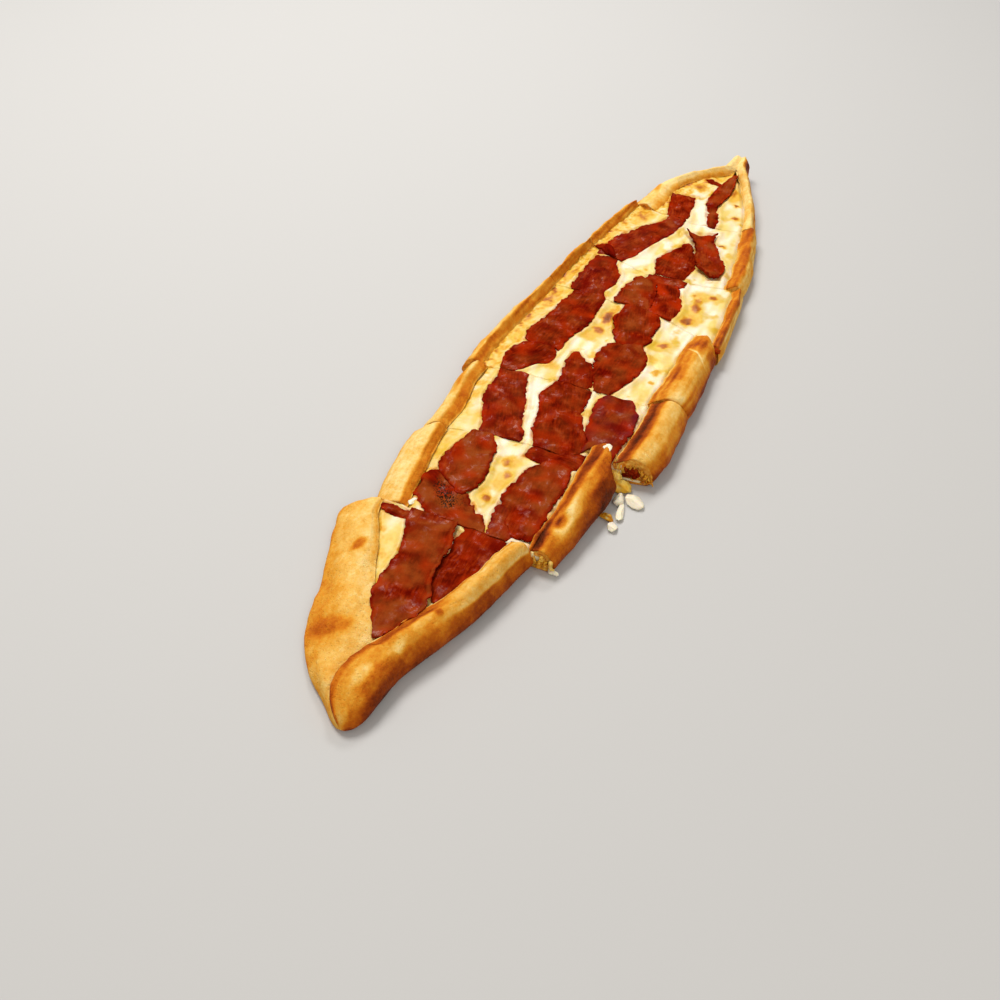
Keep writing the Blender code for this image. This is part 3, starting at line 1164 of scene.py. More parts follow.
    def displaced_row(self, share: float) -> tuple[list, list]:
        """Place a row, with the baked surface standing out.

        Args:
            share: How far through the slice the row lies.

        Returns:
            The outside and the inside, as points with their tones.
        """
        outer, inner = self.outline(share)
        last = len(outer) - 1
        from_near = NO_CUT if self.tip is Tip.NEAR else share * self.length
        from_far = NO_CUT if self.tip is Tip.FAR else (1.0 - share) * self.length
        tuck = 0.55 * exp(-min(from_near, from_far) / 0.9)
        shown = []
        for index, (x, z) in enumerate(outer):
            before, after = outer[max(index - 1, 0)], outer[min(index + 1, last)]
            run_x, run_z = after[0] - before[0], after[1] - before[1]
            size = hypot(run_x, run_z) or 1.0
            y = self.row_y(share, x)
            fade = 1.0 if self.tip is Tip.NONE else clamp(size * 3.0)
            out = fade * (self.swell(x, y, z) - tuck * ease(0.5, 3.0, z))
            side = self.left_side if index <= last / 2 else self.right_side
            tone = self.toast(side, min(index, last - index) / self.around, x, y, z)
            shown.append((place(x + run_z / size * out, y, max(0.0, z - run_x / size * out)), tone))
        hidden = [(place(x, self.row_y(share, x), z), self.hidden_tone) for x, z in inner]
        hidden[0], hidden[-1] = shown[0], shown[-1]
        return shown, hidden

    def close_cut(self, piece: Piece, table: tuple[list, list], columns: int, outward: float) -> None:
        """Close a cut face with torn, open crumb.

        Args:
            piece: The crust in the making.
            table: The outside and the inside of the row at the cut.
            columns: How many faces lie along the row.
            outward: -1 for the near face, 1 for the far one.
        """
        shown, hidden = table
        for vert, column, step in piece.grid(columns, self.deep):
            share = step / self.deep
            point = shown[column][0].lerp(hidden[column][0], share)
            middle = 4.0 * share * (1.0 - share)
            x, y, z = (value / MM for value in point)
            torn = 0.9 * abs(rough(x, y, z, 3.6, 21.0)) + 0.8 * abs(rough(x, y, z, 1.5, 23.0)) + 0.1
            vert.co = point - Vector((0.0, outward * middle * self.torn_depth * torn * MM, 0.0))
            crumb = ease(0.01, 0.10, share) * clamp(0.85 + 0.6 * rough(x, y, z, 4.0, 25.0))
            piece.mark(vert, toast=mix(shown[column][1], 0.3, ease(0.0, 0.14, share)), crumb=crumb)


# ------------------------------------------------------------------ cured beef


@dataclass(frozen=True)
class BeefSlice:
    """One thin slice of cured beef, draped on the cheese.

    Its shape is a middle line from near to far, with how far it reaches to the left and
    to the right of that line at seven even steps.
    """

    name: str
    near: Pair
    far: Pair
    left: tuple[float, ...]
    right: tuple[float, ...]
    level: float = 0.0  # how far it lies above the lowest slices
    tilt: Pair = (0.0, 0.0)  # extra height at its near and at its far end
    curl: Pair = (0.1, 0.1)  # how far its left and right rims turn up
    # how much painted tan sheen lies over its middle
    haze: float = 0.5
    # how much painted purple sheen it shows
    purple: float = 0.0
    # how much orange-red oil it has, partly a painted highlight at its rims
    glow: float = 0.3
    pepper: tuple[Spot, ...] = ()
    tear: float = 1.0  # how ragged its rim is
    ends: Pair = (1.6, 1.6)  # how far its near and far end bulge out in the middle
    pale: Pair = (0.0, 0.0)  # how strong a painted highlight lies along its left and right rims
    thickness: float = 1.3
    rim_thickness: float = 0.5
    step: float = 0.62  # size of one face
    heights: Pair = (1.35, 0.35)  # how high its middle and its rim lie on its seat
    end_reach: float = 1.5  # how far the cheese takes it to reach past its ends

    @property
    def run(self) -> Pair:
        """Return how far the middle line runs across and along the pide."""
        return self.far[0] - self.near[0], self.far[1] - self.near[1]

    @property
    def length(self) -> float:
        """Return the length of the middle line."""
        return hypot(*self.run)

    def reach(self, share: float, side: float) -> float:
        """Return how far it reaches to one side, a share of the way along."""
        return through(self.right if side > 0 else self.left, share)

    def margin(self, x: float, y: float) -> float:
        """Tell how far inside the slice a place lies.

        Args:
            x: Place across the pide.
            y: Place along it.

        Returns:
            The distance to its rim, below zero outside it.
        """
        run_x, run_y = (value / self.length for value in self.run)
        off_x, off_y = x - self.near[0], y - self.near[1]
        share, side = (off_x * run_x + off_y * run_y) / self.length, off_x * run_y - off_y * run_x
        from_end = min(share, 1.0 - share) * self.length
        return min(self.reach(share, side) - abs(side), from_end + self.end_reach)

    def frilled_reach(self, share: float, side: float) -> float:
        """Tell how far the frilled rim reaches to one side.

        Args:
            share: How far along the slice.
            side: Below zero for the left.

        Returns:
            The distance from the middle line.
        """
        seed = len(self.name) + (5.0 if side > 0 else 0.0) + self.near[0]
        lumps = partial(rough, share * self.length, seed)
        frill = 1.2 * lumps(0.0, 3.8, 1.0) + lumps(4.0, 1.6, 2.0)
        return max(LEAST_REACH, self.reach(share, side) + frill * self.tear)

    def build(self, finishes: Finishes, bread: BreadSlice) -> bpy.types.Object:
        """Build and dress the slice, which ends flush where it meets a cut of the bread.

        Args:
            finishes: The material of each stuff.
            bread: The bread slice that it lies in.

        Returns:
            The piece.
        """
        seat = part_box(self.name)[0].z / MM + self.level
        widest = max(left + right for left, right in zip(self.left, self.right))
        columns, rows = (max(10, round(size / self.step)) for size in (widest, self.length))
        piece = Piece(f"{self.name}_dressed", Stuff.BEEF)
        grain = piece.mesh.verts.layers.float_vector.new("grain")
        for vert, column, row in piece.grid(columns, rows):
            side = 2.0 * column / columns - 1.0
            vert[grain] = self.shape_vertex(piece, vert, row / rows, side, seat, bread)
        under = bmesh.ops.extrude_face_region(piece.mesh, geom=piece.mesh.faces[:])
        for vert in under["geom"]:
            if isinstance(vert, Vertex):
                vert.co.z -= mix(self.thickness, self.rim_thickness, vert[piece.marks["rim"]]) * MM
        return piece.finish(finishes, self.name)

    def meets(self, bread: BreadSlice, share: float) -> Cut | None:
        """Find the cut of the bread that one end of the slice meets.

        Args:
            bread: The bread slice that it lies in.
            share: A place nearer to that end.

        Returns:
            The cut, if it meets one.
        """
        x, y = self.near if share < 0.5 else self.far
        lengthwise = abs(self.run[1]) > abs(self.run[0])
        cuts = [cut for cut in (bread.near, bread.far) if lengthwise and abs(y - cut.at(x)) < CUT_REACH]
        return cuts[0] if cuts else None

    def shape_vertex(
        self, piece: Piece, vert: Vertex, share: float, side: float, seat: float, bread: BreadSlice
    ) -> Vector:
        """Place one vertex of the upper face and set what its finish reads.

        Args:
            piece: The slice in the making.
            vert: The vertex.
            share: How far along the slice it lies.
            side: -1 on the left rim, 1 on the right one.
            seat: The height that the slice lies at.
            bread: The bread slice that it lies in.

        Returns:
            Its place along and across the fibres.
        """
        run_x, run_y = (value / self.length for value in self.run)
        across = side * self.frilled_reach(share, side)
        from_end = (1.0 - abs(2.0 * share - 1.0)) * self.length
        along = share * self.length
        cut = self.meets(bread, share)
        if not cut:
            rounded = self.ends[1] if share > 0.5 else -self.ends[0]
            jag = 1.5 * rough(across, self.near[1], 0.0, 2.6, 4.0) * exp(-from_end / 3.0)
            along += rounded * (1.0 - side * side) * exp(-from_end / 7.0) + jag
        x = self.near[0] + along * run_x + across * run_y
        y = self.near[1] + along * run_y - across * run_x
        from_rim = (1.0 - abs(side)) * 0.5 * (self.left[3] + self.right[3])
        if cut:
            edge = cut.at(x) + (KNIFE if cut is bread.near else -KNIFE)
            y += (edge - y) * exp(-0.25 * (0.5 * from_end) ** 2)
        else:
            from_rim = min(from_rim, 0.5 * from_end)
        y = clamp(y, bread.near.at(x) + KNIFE, bread.far.at(x) - KNIFE)
        lumps = partial(rough, x, y, 0.0)
        turned = self.curl[side > 0] * exp(-(1.0 - abs(side)) * 9.0)
        rim = exp(-from_rim / EDGE_LINE)
        ridge = 1.0 - abs(smooth_noise(x / 14.0, y / 14.0, 8.0 + self.near[0])) * 3.0
        crease = 1.0 - abs(smooth_noise(x / 8.0, y / 8.0, 3.0 + self.near[1])) * 7.0
        waves = 0.6 * max(ridge, -0.5) + 0.75 * lumps(7.5, 8.0) + 0.24 * lumps(3.2, 10.0)
        waves += 0.35 * max(0.0, crease) * (0.6 + lumps(12.0, 34.0))
        height = seat + mix(*self.heights, rim) + mix(*self.tilt, share) + max(waves, -0.7) + turned
        vert.co = place(x, y, height + 0.55 * rim * lumps(3.0, 6.0))
        shade = 0.56 * ease(0.12, 0.5, lumps(8.0, 13.0))
        # painted tan sheen in patches, fading towards the rims
        painted_sheen_share = self.haze * (0.75 + 1.6 * lumps(10.0, 14.0)) * ease(0.5, 3.5, from_rim)
        piece.mark(
            vert,
            rim=0.8 * exp(-from_rim / 0.7) * (0.7 + 1.2 * lumps(3.0, 12.0)) + shade,
            # pale paints a highlight line along the rims into this sheen mark
            haze=max(painted_sheen_share, self.pale[side > 0] * exp(-(((from_rim - 1.0) / 0.9) ** 2))),
            # painted purple sheen, strongest near the rims
            purple=self.purple * (0.25 + exp(-from_rim / 3.5)) * (0.7 + 1.6 * lumps(7.0, 16.0)),
            # orange-red oil in patches, partly a painted highlight along the rims
            glow=(0.3 + self.glow) * (rim * (0.7 + 1.6 * lumps(5.0, 18.0)) + 1.4 * lumps(9.0, 20.0)),
            pepper=sum(spot.tone * spot.strength(x, y) for spot in self.pepper),
        )
        return Vector((along, across, 0.0)) * MM


# ------------------------------------------------------------------ cheese


@dataclass
class CheeseLayer:
    """The melted cheese of one slice, from one cut face to the other."""

    bread: BreadSlice
    beef: tuple[BeefSlice, ...]
    spots: tuple[Spot, ...]
    climb: float  # how far it laps over the left flap
    step: float = 0.8  # size of one face
    least_opening: float = 1.2  # opening between the lips below which there is no cheese
    proud: float = 0.35  # how far it lies above the top of the solids
    well: float = 0.9  # how far it rises round a beef slice

    def build(self, finishes: Finishes) -> bpy.types.Object:
        """Build and dress the cheese of the slice.

        Args:
            finishes: The material of each stuff.

        Returns:
            The piece.
        """
        rows = max(8, round(self.bread.length / self.step))
        sections = [(row / rows, self.bread.section(row / rows)) for row in range(rows + 1)]
        sections = [item for item in sections if item[1].opening > self.least_opening]
        columns = round(max(size.right - size.left for _, size in sections) / self.step)
        piece = Piece(f"cheese_layer_{self.bread.number}", Stuff.CHEESE)
        mesh = piece.mesh
        for vert, column, row in piece.grid(columns, len(sections) - 1):
            self.shape_vertex(piece, vert, *sections[row], column / columns)
        skirt = bmesh.ops.extrude_edge_only(mesh, edges=[edge for edge in mesh.edges if edge.is_boundary])
        for vert in skirt["geom"]:
            if isinstance(vert, Vertex):
                lift = max(0.0, between(vert.co.y / MM - MIDDLE_Y, self.bread.stations, "lift"))
                vert.co.z = (BASE + SEAM + lift) * MM
        bmesh.ops.contextual_create(mesh, geom=[edge for edge in mesh.edges if edge.is_boundary])
        bmesh.ops.triangulate(mesh, faces=[face for face in mesh.faces if len(face.verts) > 4])
        return piece.finish(finishes, f"cheese_{self.bread.number}")

    def shape_vertex(self, piece: Piece, vert: Vertex, share: float, size: Station, across: float) -> None:
        """Place one vertex of the cheese's top and set what its finish reads.

        Args:
            piece: The cheese in the making.
            vert: The vertex.
            share: How far through the slice its row lies.
            size: The sizes on its row.
            across: How far from the left wall to the right one it lies.
        """
        left_wall, right_wall = self.bread.walls(size)
        x = mix(left_wall + SEAM, right_wall - SEAM, across)
        y = self.bread.row_y(share, x)
        lumps, layers = partial(rough, x, y, 0.0), partial(uneven, x, y, 0.0)
        from_left = x - (size.left + size.left_flap)
        from_right = size.right - size.right_flap - x
        inside = min(from_left, from_right)
        climb = self.climb if from_left < from_right else 0.0
        wander = climb * layers((1.3, 5.0, 81.0), (0.5, 2.0, 83.0))
        shown = ease(-0.5 - 1.6 * climb + wander, 2.5 - 1.9 * climb + wander, inside)
        margin = max(piece.margin(x, y) for piece in self.beef)
        bare = 1.0 - ease(-1.0, 2.0, margin)
        well = self.well * exp(-((margin + 1.2) ** 2) / 3.0)
        lapped = climb * ease(1.5, -3.0, inside) * clamp(1.2 + 4.0 * lumps(6.0, 87.0), 0.2, 2.6)
        bulge = sum(spot.bulge * spot.strength(x, y) for spot in self.spots)
        rise = CHEESE_TOP - FILL + self.proud + bare * (self.relief(x, y) + well)
        height = FILL + shown * rise + shown * bulge + shown * lapped
        vert.co = place(x, y, height + size.lift)
        bent_x = x + layers((1.4, 3.6, 35.0), (0.6, 1.6, 36.0))
        bent_y = y + layers((1.4, 3.6, 37.0), (0.6, 1.6, 38.0))
        felt = [(spot.tone, spot.strength(bent_x, bent_y)) for spot in self.spots]
        pale = -sum(tone * strength for tone, strength in felt if tone < 0)
        baked = self.climb * exp(-abs(from_left) / 8.0)
        toast = sum(tone * strength for tone, strength in felt if tone > 0)
        toast += 0.5 * ease(0.60, 0.88, layers((1.0, 6.0, 31.0), (0.35, 16.0, 33.0)))
        toast += baked * clamp(0.30 + layers((0.9, 5.0, 91.0), (0.5, 1.8, 92.0)))
        oily = 1.1 * ease(0.16, 0.62, layers((1.0, 9.0, 51.0), (0.2, 2.4, 55.0))) - pale
        oily += 1.2 * sum(strength for tone, strength in felt if 0 < tone < 0.3)
        oily += 0.9 * sum(spot.strength(bent_x, bent_y, 2.0) for spot in self.spots if spot.tone > 0.5)
        stretch = smooth_noise(x / 4.0, y / 14.0, 41.0)
        piece.mark(
            vert,
            white=0.38 + 0.9 * stretch + 0.9 * lumps(22.0, 43.0) + pale - 0.5 * baked,
            toast=toast,
            olive=oily + baked * (0.75 + 1.2 * lumps(4.0, 53.0)),
            oil=exp(-max(0.0, -margin) / 1.1) * (0.35 + 0.9 * lumps(4.0, 61.0)),
        )

    @staticmethod
    def relief(x: float, y: float) -> float:
        """Return the lumps, folds and strands of the cheese's top."""
        fold = 1.0 - abs(smooth_noise(x / 6.5, y / 10.0, 71.0)) * 2.0
        return 0.34 * fold + 0.50 * rough(x, y, 0.0, 7.0, 73.0) + 0.12 * rough(x, y, 0.0, 2.6, 75.0)


# ------------------------------------------------------------------ loose bits


@dataclass(frozen=True)
class Morsel:
    """A loose bit that fell from a cut or that lies on the bread."""

    name: str
    x: float
    y: float
    z: float  # height of its underside
    size: Triple
    turn: float = 0.0
    stuff: Stuff = Stuff.CHEESE
    toasted: float = 0.0
    olive: float = 0.0
    chips: int = 0  # flat broken faces; none leaves a soft lump

    def chip_faces(self) -> list[tuple[Vector, float]]:
        """Draw lots for the broken faces.

        Returns:
            The way that each looks and its distance from the middle.
        """
        chance = Random(self.name)
        return [
            (Vector([chance.gauss(0.0, 1.0) for _ in range(3)]).normalized(), chance.uniform(0.55, 0.95))
            for _ in range(self.chips)
        ]

    def build(self, finishes: Finishes) -> bpy.types.Object:
        """Build and dress the bit.

        Args:
            finishes: The material of each stuff.

        Returns:
            The piece.
        """
        faces = self.chip_faces()
        piece = Piece(self.name, self.stuff)
        bmesh.ops.create_icosphere(piece.mesh, subdivisions=4, radius=1.0)
        turn = Matrix.Rotation(radians(-self.turn), 3, "Z")
        for vert in piece.mesh.verts:
            x, y, z = vert.co
            lump = 0.95 + 0.6 * rough(x, y, z, 1.3, self.x) + 0.35 * abs(rough(x, y, z, 1.0, self.y))
            if faces:
                lump = min([1.35] + [away / max(0.05, way.dot(vert.co)) for way, away in faces])
            lump += (0.07 if faces else 0.16) * rough(x, y, z, 0.35, 7.0)
            shape = turn @ Vector((x * self.size[0], y * self.size[1], z * self.size[2])) * lump
            height = self.z + max(0.0, self.size[2] * 0.8 + shape.z)
            vert.co = place(self.x + shape.x, self.y + shape.y, height)
            if self.stuff is Stuff.CHEESE:
                toast = self.toasted * clamp(0.7 + rough(x, y, z, 0.6, 9.0))
                piece.mark(vert, white=1.0 - max(self.toasted, self.olive), olive=self.olive, toast=toast)
            else:
                # painted tan sheen on a beef bit, less on darker bits
                haze = 0.5 - self.toasted + rough(x, y, z, 0.7, 3.0)
                # orange-red oil, partly a painted highlight
                piece.mark(vert, rim=self.toasted, haze=haze, glow=0.4 + rough(x, y, z, 0.9, 5.0))
        return piece.finish(finishes)


@dataclass(frozen=True)
class TornStrings:
    """Strings and shreds that hang down a cut face from one line to another."""

    name: str
    top: tuple[Triple, Triple]
    bottom: tuple[Triple, Triple]
    count: int
    seed: int
    thickness: Pair = (0.3, 1.1)  # least and most radius
    bow: float = 1.0  # how far they stand out of the face
    # how brown cheese strings are, partly toasting and partly painted warm light on strings in the shade of
    # the cut face; on beef strings, how much painted sheen
    toasted: float = 0.35
    stuff: Stuff = Stuff.CHEESE
    around: int = 8  # faces round a string
    along: int = 14  # faces along it

    def build(self, finishes: Finishes) -> bpy.types.Object:
        """Build and dress the strings as one piece.

        Args:
            finishes: The material of each stuff.

        Returns:
            The piece.
        """
        piece = Piece(self.name, self.stuff)
        chance = Random(self.seed)
        for number in range(self.count):
            share = (number + chance.random()) / self.count
            start, end = (
                Vector(line[0]).lerp(Vector(line[1]), clamp(share + chance.uniform(-stray, stray)))
                for line, stray in ((self.top, 0.1), (self.bottom, 0.25))
            )
            low, high = sorted((chance.uniform(0.0, 0.6), chance.uniform(0.4, 1.0)))
            start, end = start.lerp(end, low), start.lerp(end, high)
            radius = mix(*self.thickness, chance.random() ** 2)
            tone = clamp(self.toasted + chance.uniform(-0.3, 0.3))
            self.add_string(piece, start, end, radius, tone, chance.random() * 50.0)
        return piece.finish(finishes)

    def add_string(
        self, piece: Piece, start: Vector, end: Vector, radius: float, tone: float, seed: float
    ) -> None:
        """Add one string, thin at both ends.

        Args:
            piece: The strings in the making.
            start: Its upper end.
            end: Its lower end.
            radius: Its radius in the middle.
            tone: How brown a cheese string is; on a beef string, how much painted sheen it shows.
            seed: What its waves start from.
        """
        axis = (end - start).normalized()
        side = axis.orthogonal()
        other = axis.cross(side)
        for vert, column, row in piece.grid(self.around, self.along):
            share = row / self.along
            turn = radians(360.0 * column / self.around)
            middle = 4.0 * share * (1.0 - share)
            wave = Vector((rough(share * 9.0, seed, 0.0, 3.0), rough(share * 9.0, seed, 5.0, 3.0), 0.0))
            thick = radius * sqrt(clamp(1.0 - (2.0 * share - 1.0) ** 4))
            thick *= 1.0 + 0.5 * rough(share * 9.0, seed, 9.0, 2.0)
            centre = start.lerp(end, share) - Vector((0.0, self.bow * middle, 0.0))
            point = centre + wave * middle + (side * cos(turn) + other * sin(turn)) * thick
            vert.co = place(point.x, point.y, max(0.05, point.z))
            if self.stuff is Stuff.CHEESE:
                piece.mark(vert, toast=tone, oil=0.25)
            else:
                # painted sheen on beef strings
                piece.mark(vert, haze=tone)


# ------------------------------------------------------------------ the studio


def facing(azimuth: float, elevation: float) -> Vector:
    """Return the way from the pide to a place seen at two angles in degrees."""
    turn, tilt = radians(azimuth), radians(elevation)
    return Vector((sin(turn) * cos(tilt), -cos(turn) * cos(tilt), sin(tilt)))


@dataclass(frozen=True)
class Camera:
    """The camera, by where it looks, from how far and at what angle."""

    target: Triple = (-0.6, -110.0, 0.0)
    distance: float = 555.2
    azimuth: float = 25.9
    elevation: float = 44.76
    roll: float = 1.15
    lens: float = 39.775
    nearest: float = 0.01  # metres in front of it where its view starts

    def build(self) -> None:
        """Build the camera and make it the scene's."""
        back = facing(self.azimuth, self.elevation)
        side = Vector((cos(radians(self.azimuth)), sin(radians(self.azimuth)), 0.0))
        roll = Matrix.Rotation(radians(self.roll), 3, "Z")
        basis = Matrix((side, back.cross(side), back)).transposed() @ roll
        data = bpy.data.cameras.new("camera")
        data.lens, data.sensor_width, data.clip_start = self.lens, 36.0, self.nearest
        item = add_object("camera", data)
        spot = (Vector(self.target) + back * self.distance) * MM
        item.matrix_world = Matrix.Translation(spot) @ basis.to_4x4()
        bpy.context.scene.camera = item


@dataclass(frozen=True)
class Softbox:
    """A soft studio lamp that looks at the pide."""

    name: str
    azimuth: float
    elevation: float
    distance: float  # metres
    size: float  # metres
    power: float
    colour: Triple

    def build(self) -> None:
        """Build the lamp."""
        back = facing(self.azimuth, self.elevation)
        data = bpy.data.lights.new(self.name, "AREA")
        data.shape, data.size, data.energy, data.color = "DISK", self.size, self.power, self.colour
        item = add_object(self.name, data)
        basis = back.to_track_quat("Z", "Y").to_matrix()
        item.matrix_world = Matrix.Translation(back * self.distance) @ basis.to_4x4()


@dataclass(frozen=True)
class Studio:
    """A plain pale floor and soft light."""

    floor_size: float = 3.0  # metres
    floor_colour: Triple = (0.52, 0.515, 0.505)
    floor_roughness: float = 0.7
    sky: Triple = (1.0, 0.97, 0.93)
    sky_strength: float = 0.42
    lamps: tuple[Softbox, ...] = (
        Softbox("key", 250.0, 60.0, 1.5, 0.6, 15.0, (1.0, 0.98, 0.95)),
        Softbox("back", 205.0, 46.0, 1.6, 0.35, 7.0, (1.0, 0.98, 0.96)),
        Softbox("fill", 42.0, 40.0, 1.8, 1.2, 8.5, (1.0, 0.95, 0.88)),
    )

    def build(self) -> None:
        """Build the floor, the sky and the lamps."""
        bpy.context.scene.view_settings.view_transform = "Standard"
        mesh = bmesh.new()
        bmesh.ops.create_grid(mesh, x_segments=1, y_segments=1, size=self.floor_size)
        data = bpy.data.meshes.new("floor")
        mesh.to_mesh(data)
        mesh.free()
        made = Recipe("pale_floor")
        made.feed({"Base Color": (*self.floor_colour, 1.0), "Roughness": self.floor_roughness})
        data.materials.append(made.material)
        floor = add_object("floor", data)
        world = bpy.data.worlds.new("studio")
        world.use_nodes = True
        sky = world.node_tree.nodes["Background"]
        sky.inputs["Color"].default_value = (*self.sky, 1.0)
        sky.inputs["Strength"].default_value = self.sky_strength
        bpy.context.scene.world = world
        for lamp in self.lamps:
            lamp.build()


# ------------------------------------------------------------------ the pide


CUT_1 = Cut(-146, -144.5, -143)
CUT_2 = Cut(-89, -77, -67, bend=(30, 13, 10))
CUT_3 = Cut(-31, -22, -15)
CUT_4 = Cut(64, 62, 42)
CUT_5 = Cut(121, 101, 114)
CUT_6 = Cut(181, 170, 193)

# tones of the left rims from lip to foot; the pale stops at 32 and 40 are a painted highlight line along
# the ridge
RIM_TONES = tones(0, 20, 8, 40, 24, 48, 32, 22, 40, 16, 52, 34, 78, 46, 100, 60)

BREAD = (
    BreadSlice(
        1, Cut(-264, -264, -264), CUT_1,
        stations(
            (-264, -3, 3, 2.5, 3.5, 5, 6), (-256, -13, 7.5, 4, 16.5, 7, 12),
            (-246, -27, 8.7, 15, 20.7, 9, 15.5), (-232, -38.5, 10, 28, 20.5, 10.5, 17),
            (-219, -44.5, 13.8, 36, 18.3, 12, 17), (-204, -49, 19, 29.5, 18.8, 12.5, 17),
            (-188, -55.5, 24, 27, 15.5, 12.5, 17), (-168, -63.5, 27.6, 24.5, 12.8, 12.5, 17.5),
            (-155, -67, 30, 20.5, 12.8, 12.5, 17.5), (-144, -59, 32, 9, 12, 11, 14.5),
        ),
        Side(
            Fold(0.62, 0.25, 1, tones(0, 12, 30, 22, 60, 30, 86, 40, 100, 62)),
            Fold(0.8, 0.2, 2, tones(0, 16, 5, 28, 12, 12, 30, 16, 60, 24, 85, 36, 100, 62)),
            (-196, -176),
        ),
        Side(
            Fold(
                0.56, 0.75, 3.6,
                tones(0, 10, 3, 66, 15, 70, 28, 36, 42, 34, 56, 58, 74, 80, 88, 92, 100, 100), 0.9,
            ),
            Fold(
                0.5, 0.3, 5.4, tones(0, 5, 3, 50, 10, 22, 34, 24, 44, 12, 50, 60, 68, 74, 84, 88, 100, 100),
                0.3,
            ),
            (-206, -186),
        ),
        spots(
            (-43, -178, 2.8, 4.6, 0.4, 15), (-30, -224, 11, 5, 0.25, -20), (-38.5, -152, 2.2, 12, 0.34),
            (-12, -250, 4, 8, -0.12, 20), (17, -163, 4, 10, -0.1, 5), (-1, -243, 3.2, 6, -0.26, 10),
            (3, -253, 3, 4, -0.16), (5.5, -225, 2.6, 6, -0.24, 8), (8, -208, 2.4, 6, -0.2, 12),
            (12, -200, 2.2, 1.8, 0.25, 0, 0.5),
        ),
        Tip.NEAR,
    ),
    BreadSlice(
        2, CUT_1, replace(CUT_2, corner=11),
        stations(
            (-145, -55.5, 42, 19, 13, 12, 12), (-118, -61.5, 46, 19.5, 17, 13, 18),
            (-92, -64.5, 48, 18, 20, 13.5, 19.5), (-68, -64, 48.5, 17, 22, 13.5, 19),
        ),
        Side(Fold(0.74, 0.3, 1.6, tones(0, 34, 5, 50, 15, 46, 23, 10, 60, 12, 84, 34, 100, 55))),
        Side(
            Fold(
                0.58, 0.65, 4.6,
                tones(0, 0, 3, 52, 10, 78, 20, 64, 30, 20, 40, 30, 52, 56, 74, 74, 100, 92), 1.2,
            ),
        ),
        spots(
            # a dark hollow pit with a pale ring round it; the pale ring is a painted highlight
            (36.5, -124, 4.6, 7.4, -0.36, 6), (36.5, -124, 3, 5.2, 0.8, 6, -1.3),
            (38.5, -77, 7, 12, 0.28, 8), (40, -97, 4.5, 11, 0.26, 4), (34.5, -137.5, 6, 6.5, 0.3),
            (30, -130, 2.6, 6.5, 0.2, 6), (38, -108, 2.6, 12, -0.16, 3), (46, -96, 4, 10, 0.22, 3),
        ),
    ),
    BreadSlice(
        3, CUT_2, CUT_3,
        stations(
            (-88, -60.5, 59, 13, 20, 13, 15), (-68, -61.5, 62.5, 14, 22, 13, 17),
            (-45, -64.5, 64, 13, 22, 14, 18.5), (-15, -63, 62, 10.5, 21, 14, 17),
        ),
        Side(Fold(0.52, 0.35, 1.4, tones(0, 26, 5, 44, 18, 46, 28, 12, 50, 10, 68, 24, 84, 40, 100, 55))),
        Side(
            Fold(
                0.52, 0.65, 4, tones(0, 10, 3, 74, 12, 92, 22, 66, 32, 22, 46, 18, 60, 44, 80, 74, 100, 95),
                1,
            ),
        ),
        spots((-60, -45, 2.5, 13, 0.3, -8)),
    ),
    BreadSlice(
        4, CUT_3, CUT_4,
        stations(
            (-31, -68, 60, 13, 21, 14, 17), (0, -68.5, 61.5, 13, 22, 14.5, 18),
            (30, -65.5, 59.5, 12, 19, 15, 17), (64, -61.5, 58, 10, 15, 15, 14),
        ),
        Side(Fold(0.56, 0.2, 0.8, RIM_TONES)),
        Side(
            Fold(
                0.52, 0.65, 3.2, tones(0, 15, 4, 50, 16, 52, 30, 32, 46, 22, 60, 46, 80, 74, 100, 92), 0.6,
            ),
        ),
        spots(
            (49, 29, 0.8, 9, -0.4, 129, -0.4), (53, 36, 6, 9, 0.22, 129), (44, 10, 3, 8, 0.16),
            (53, -14, 3.5, 8, -0.16),
        ),
        wander=1.7,
    ),
    BreadSlice(
        5, CUT_4, CUT_5,
        stations(
            (42, -63, 60, 10, 8, 15, 13), (80, -60.5, 57, 8.5, 7.5, 15, 12.5),
            (121, -56, 51.5, 7.5, 7, 15, 12),
        ),
        Side(Fold(0.56, 0.2, 0.8, RIM_TONES)),
        Side(Fold(0.45, 0.4, 1.5, tones(0, 30, 12, 58, 32, 62, 44, 22, 78, 22, 100, 55))),
        wander=1.9,
    ),
    BreadSlice(
        6, CUT_5, CUT_6,
        stations(
            (101, -58.5, 53, 10, 11, 14, 13), (135, -57.5, 50, 10, 12, 14, 14),
            (160, -52.5, 44.5, 8.5, 11, 14, 13.5), (190, -47, 36.5, 7.5, 8.5, 13, 13),
        ),
        Side(Fold(0.56, 0.2, 0.8, RIM_TONES)),
        Side(Fold(0.45, 0.35, 1.2, tones(0, 30, 10, 56, 30, 60, 42, 26, 75, 22, 100, 55))),
        wander=1.9,
    ),
    BreadSlice(
        7, CUT_6, Cut(262, 262, 262),
        stations(
            (170, -47.5, 40, 17, 9, 13, 12), (190, -45.5, 35.5, 18, 8.5, 13, 12.5),
            (206, -42, 29.5, 15, 8, 13.5, 13.5), (220, -36, 24, 13.5, 8.5, 14, 14.5),
            (233, -26, 18.5, 14.5, 8.5, 14.5, 15), (246, -11, 12, 12.5, 10, 14.5, 15.5, 1),
            (255, -6.5, 9, 7.5, 8, 13, 14, 3.5), (262, -5.5, 7.5, 6, 7, 10.5, 11.5, 7.5),
        ),
        Side(Fold(0.55, 0.4, 1.6, tones(0, 34, 8, 30, 22, 4, 50, 8, 66, 34, 85, 44, 100, 55))),
        Side(Fold(0.55, 0.4, 1.6, tones(0, 15, 20, 10, 36, 16, 50, 50, 62, 30, 80, 34, 100, 55))),
        spots(
            (-1, 254, 5, 9, -0.5, 0, 0.6), (8.5, 256, 3, 8, 0.5, 10), (2, 262, 5, 2, 0.35),
            (-38, 200, 2, 9, 0.25, -12),
        ),
        Tip.FAR,
    ),
)

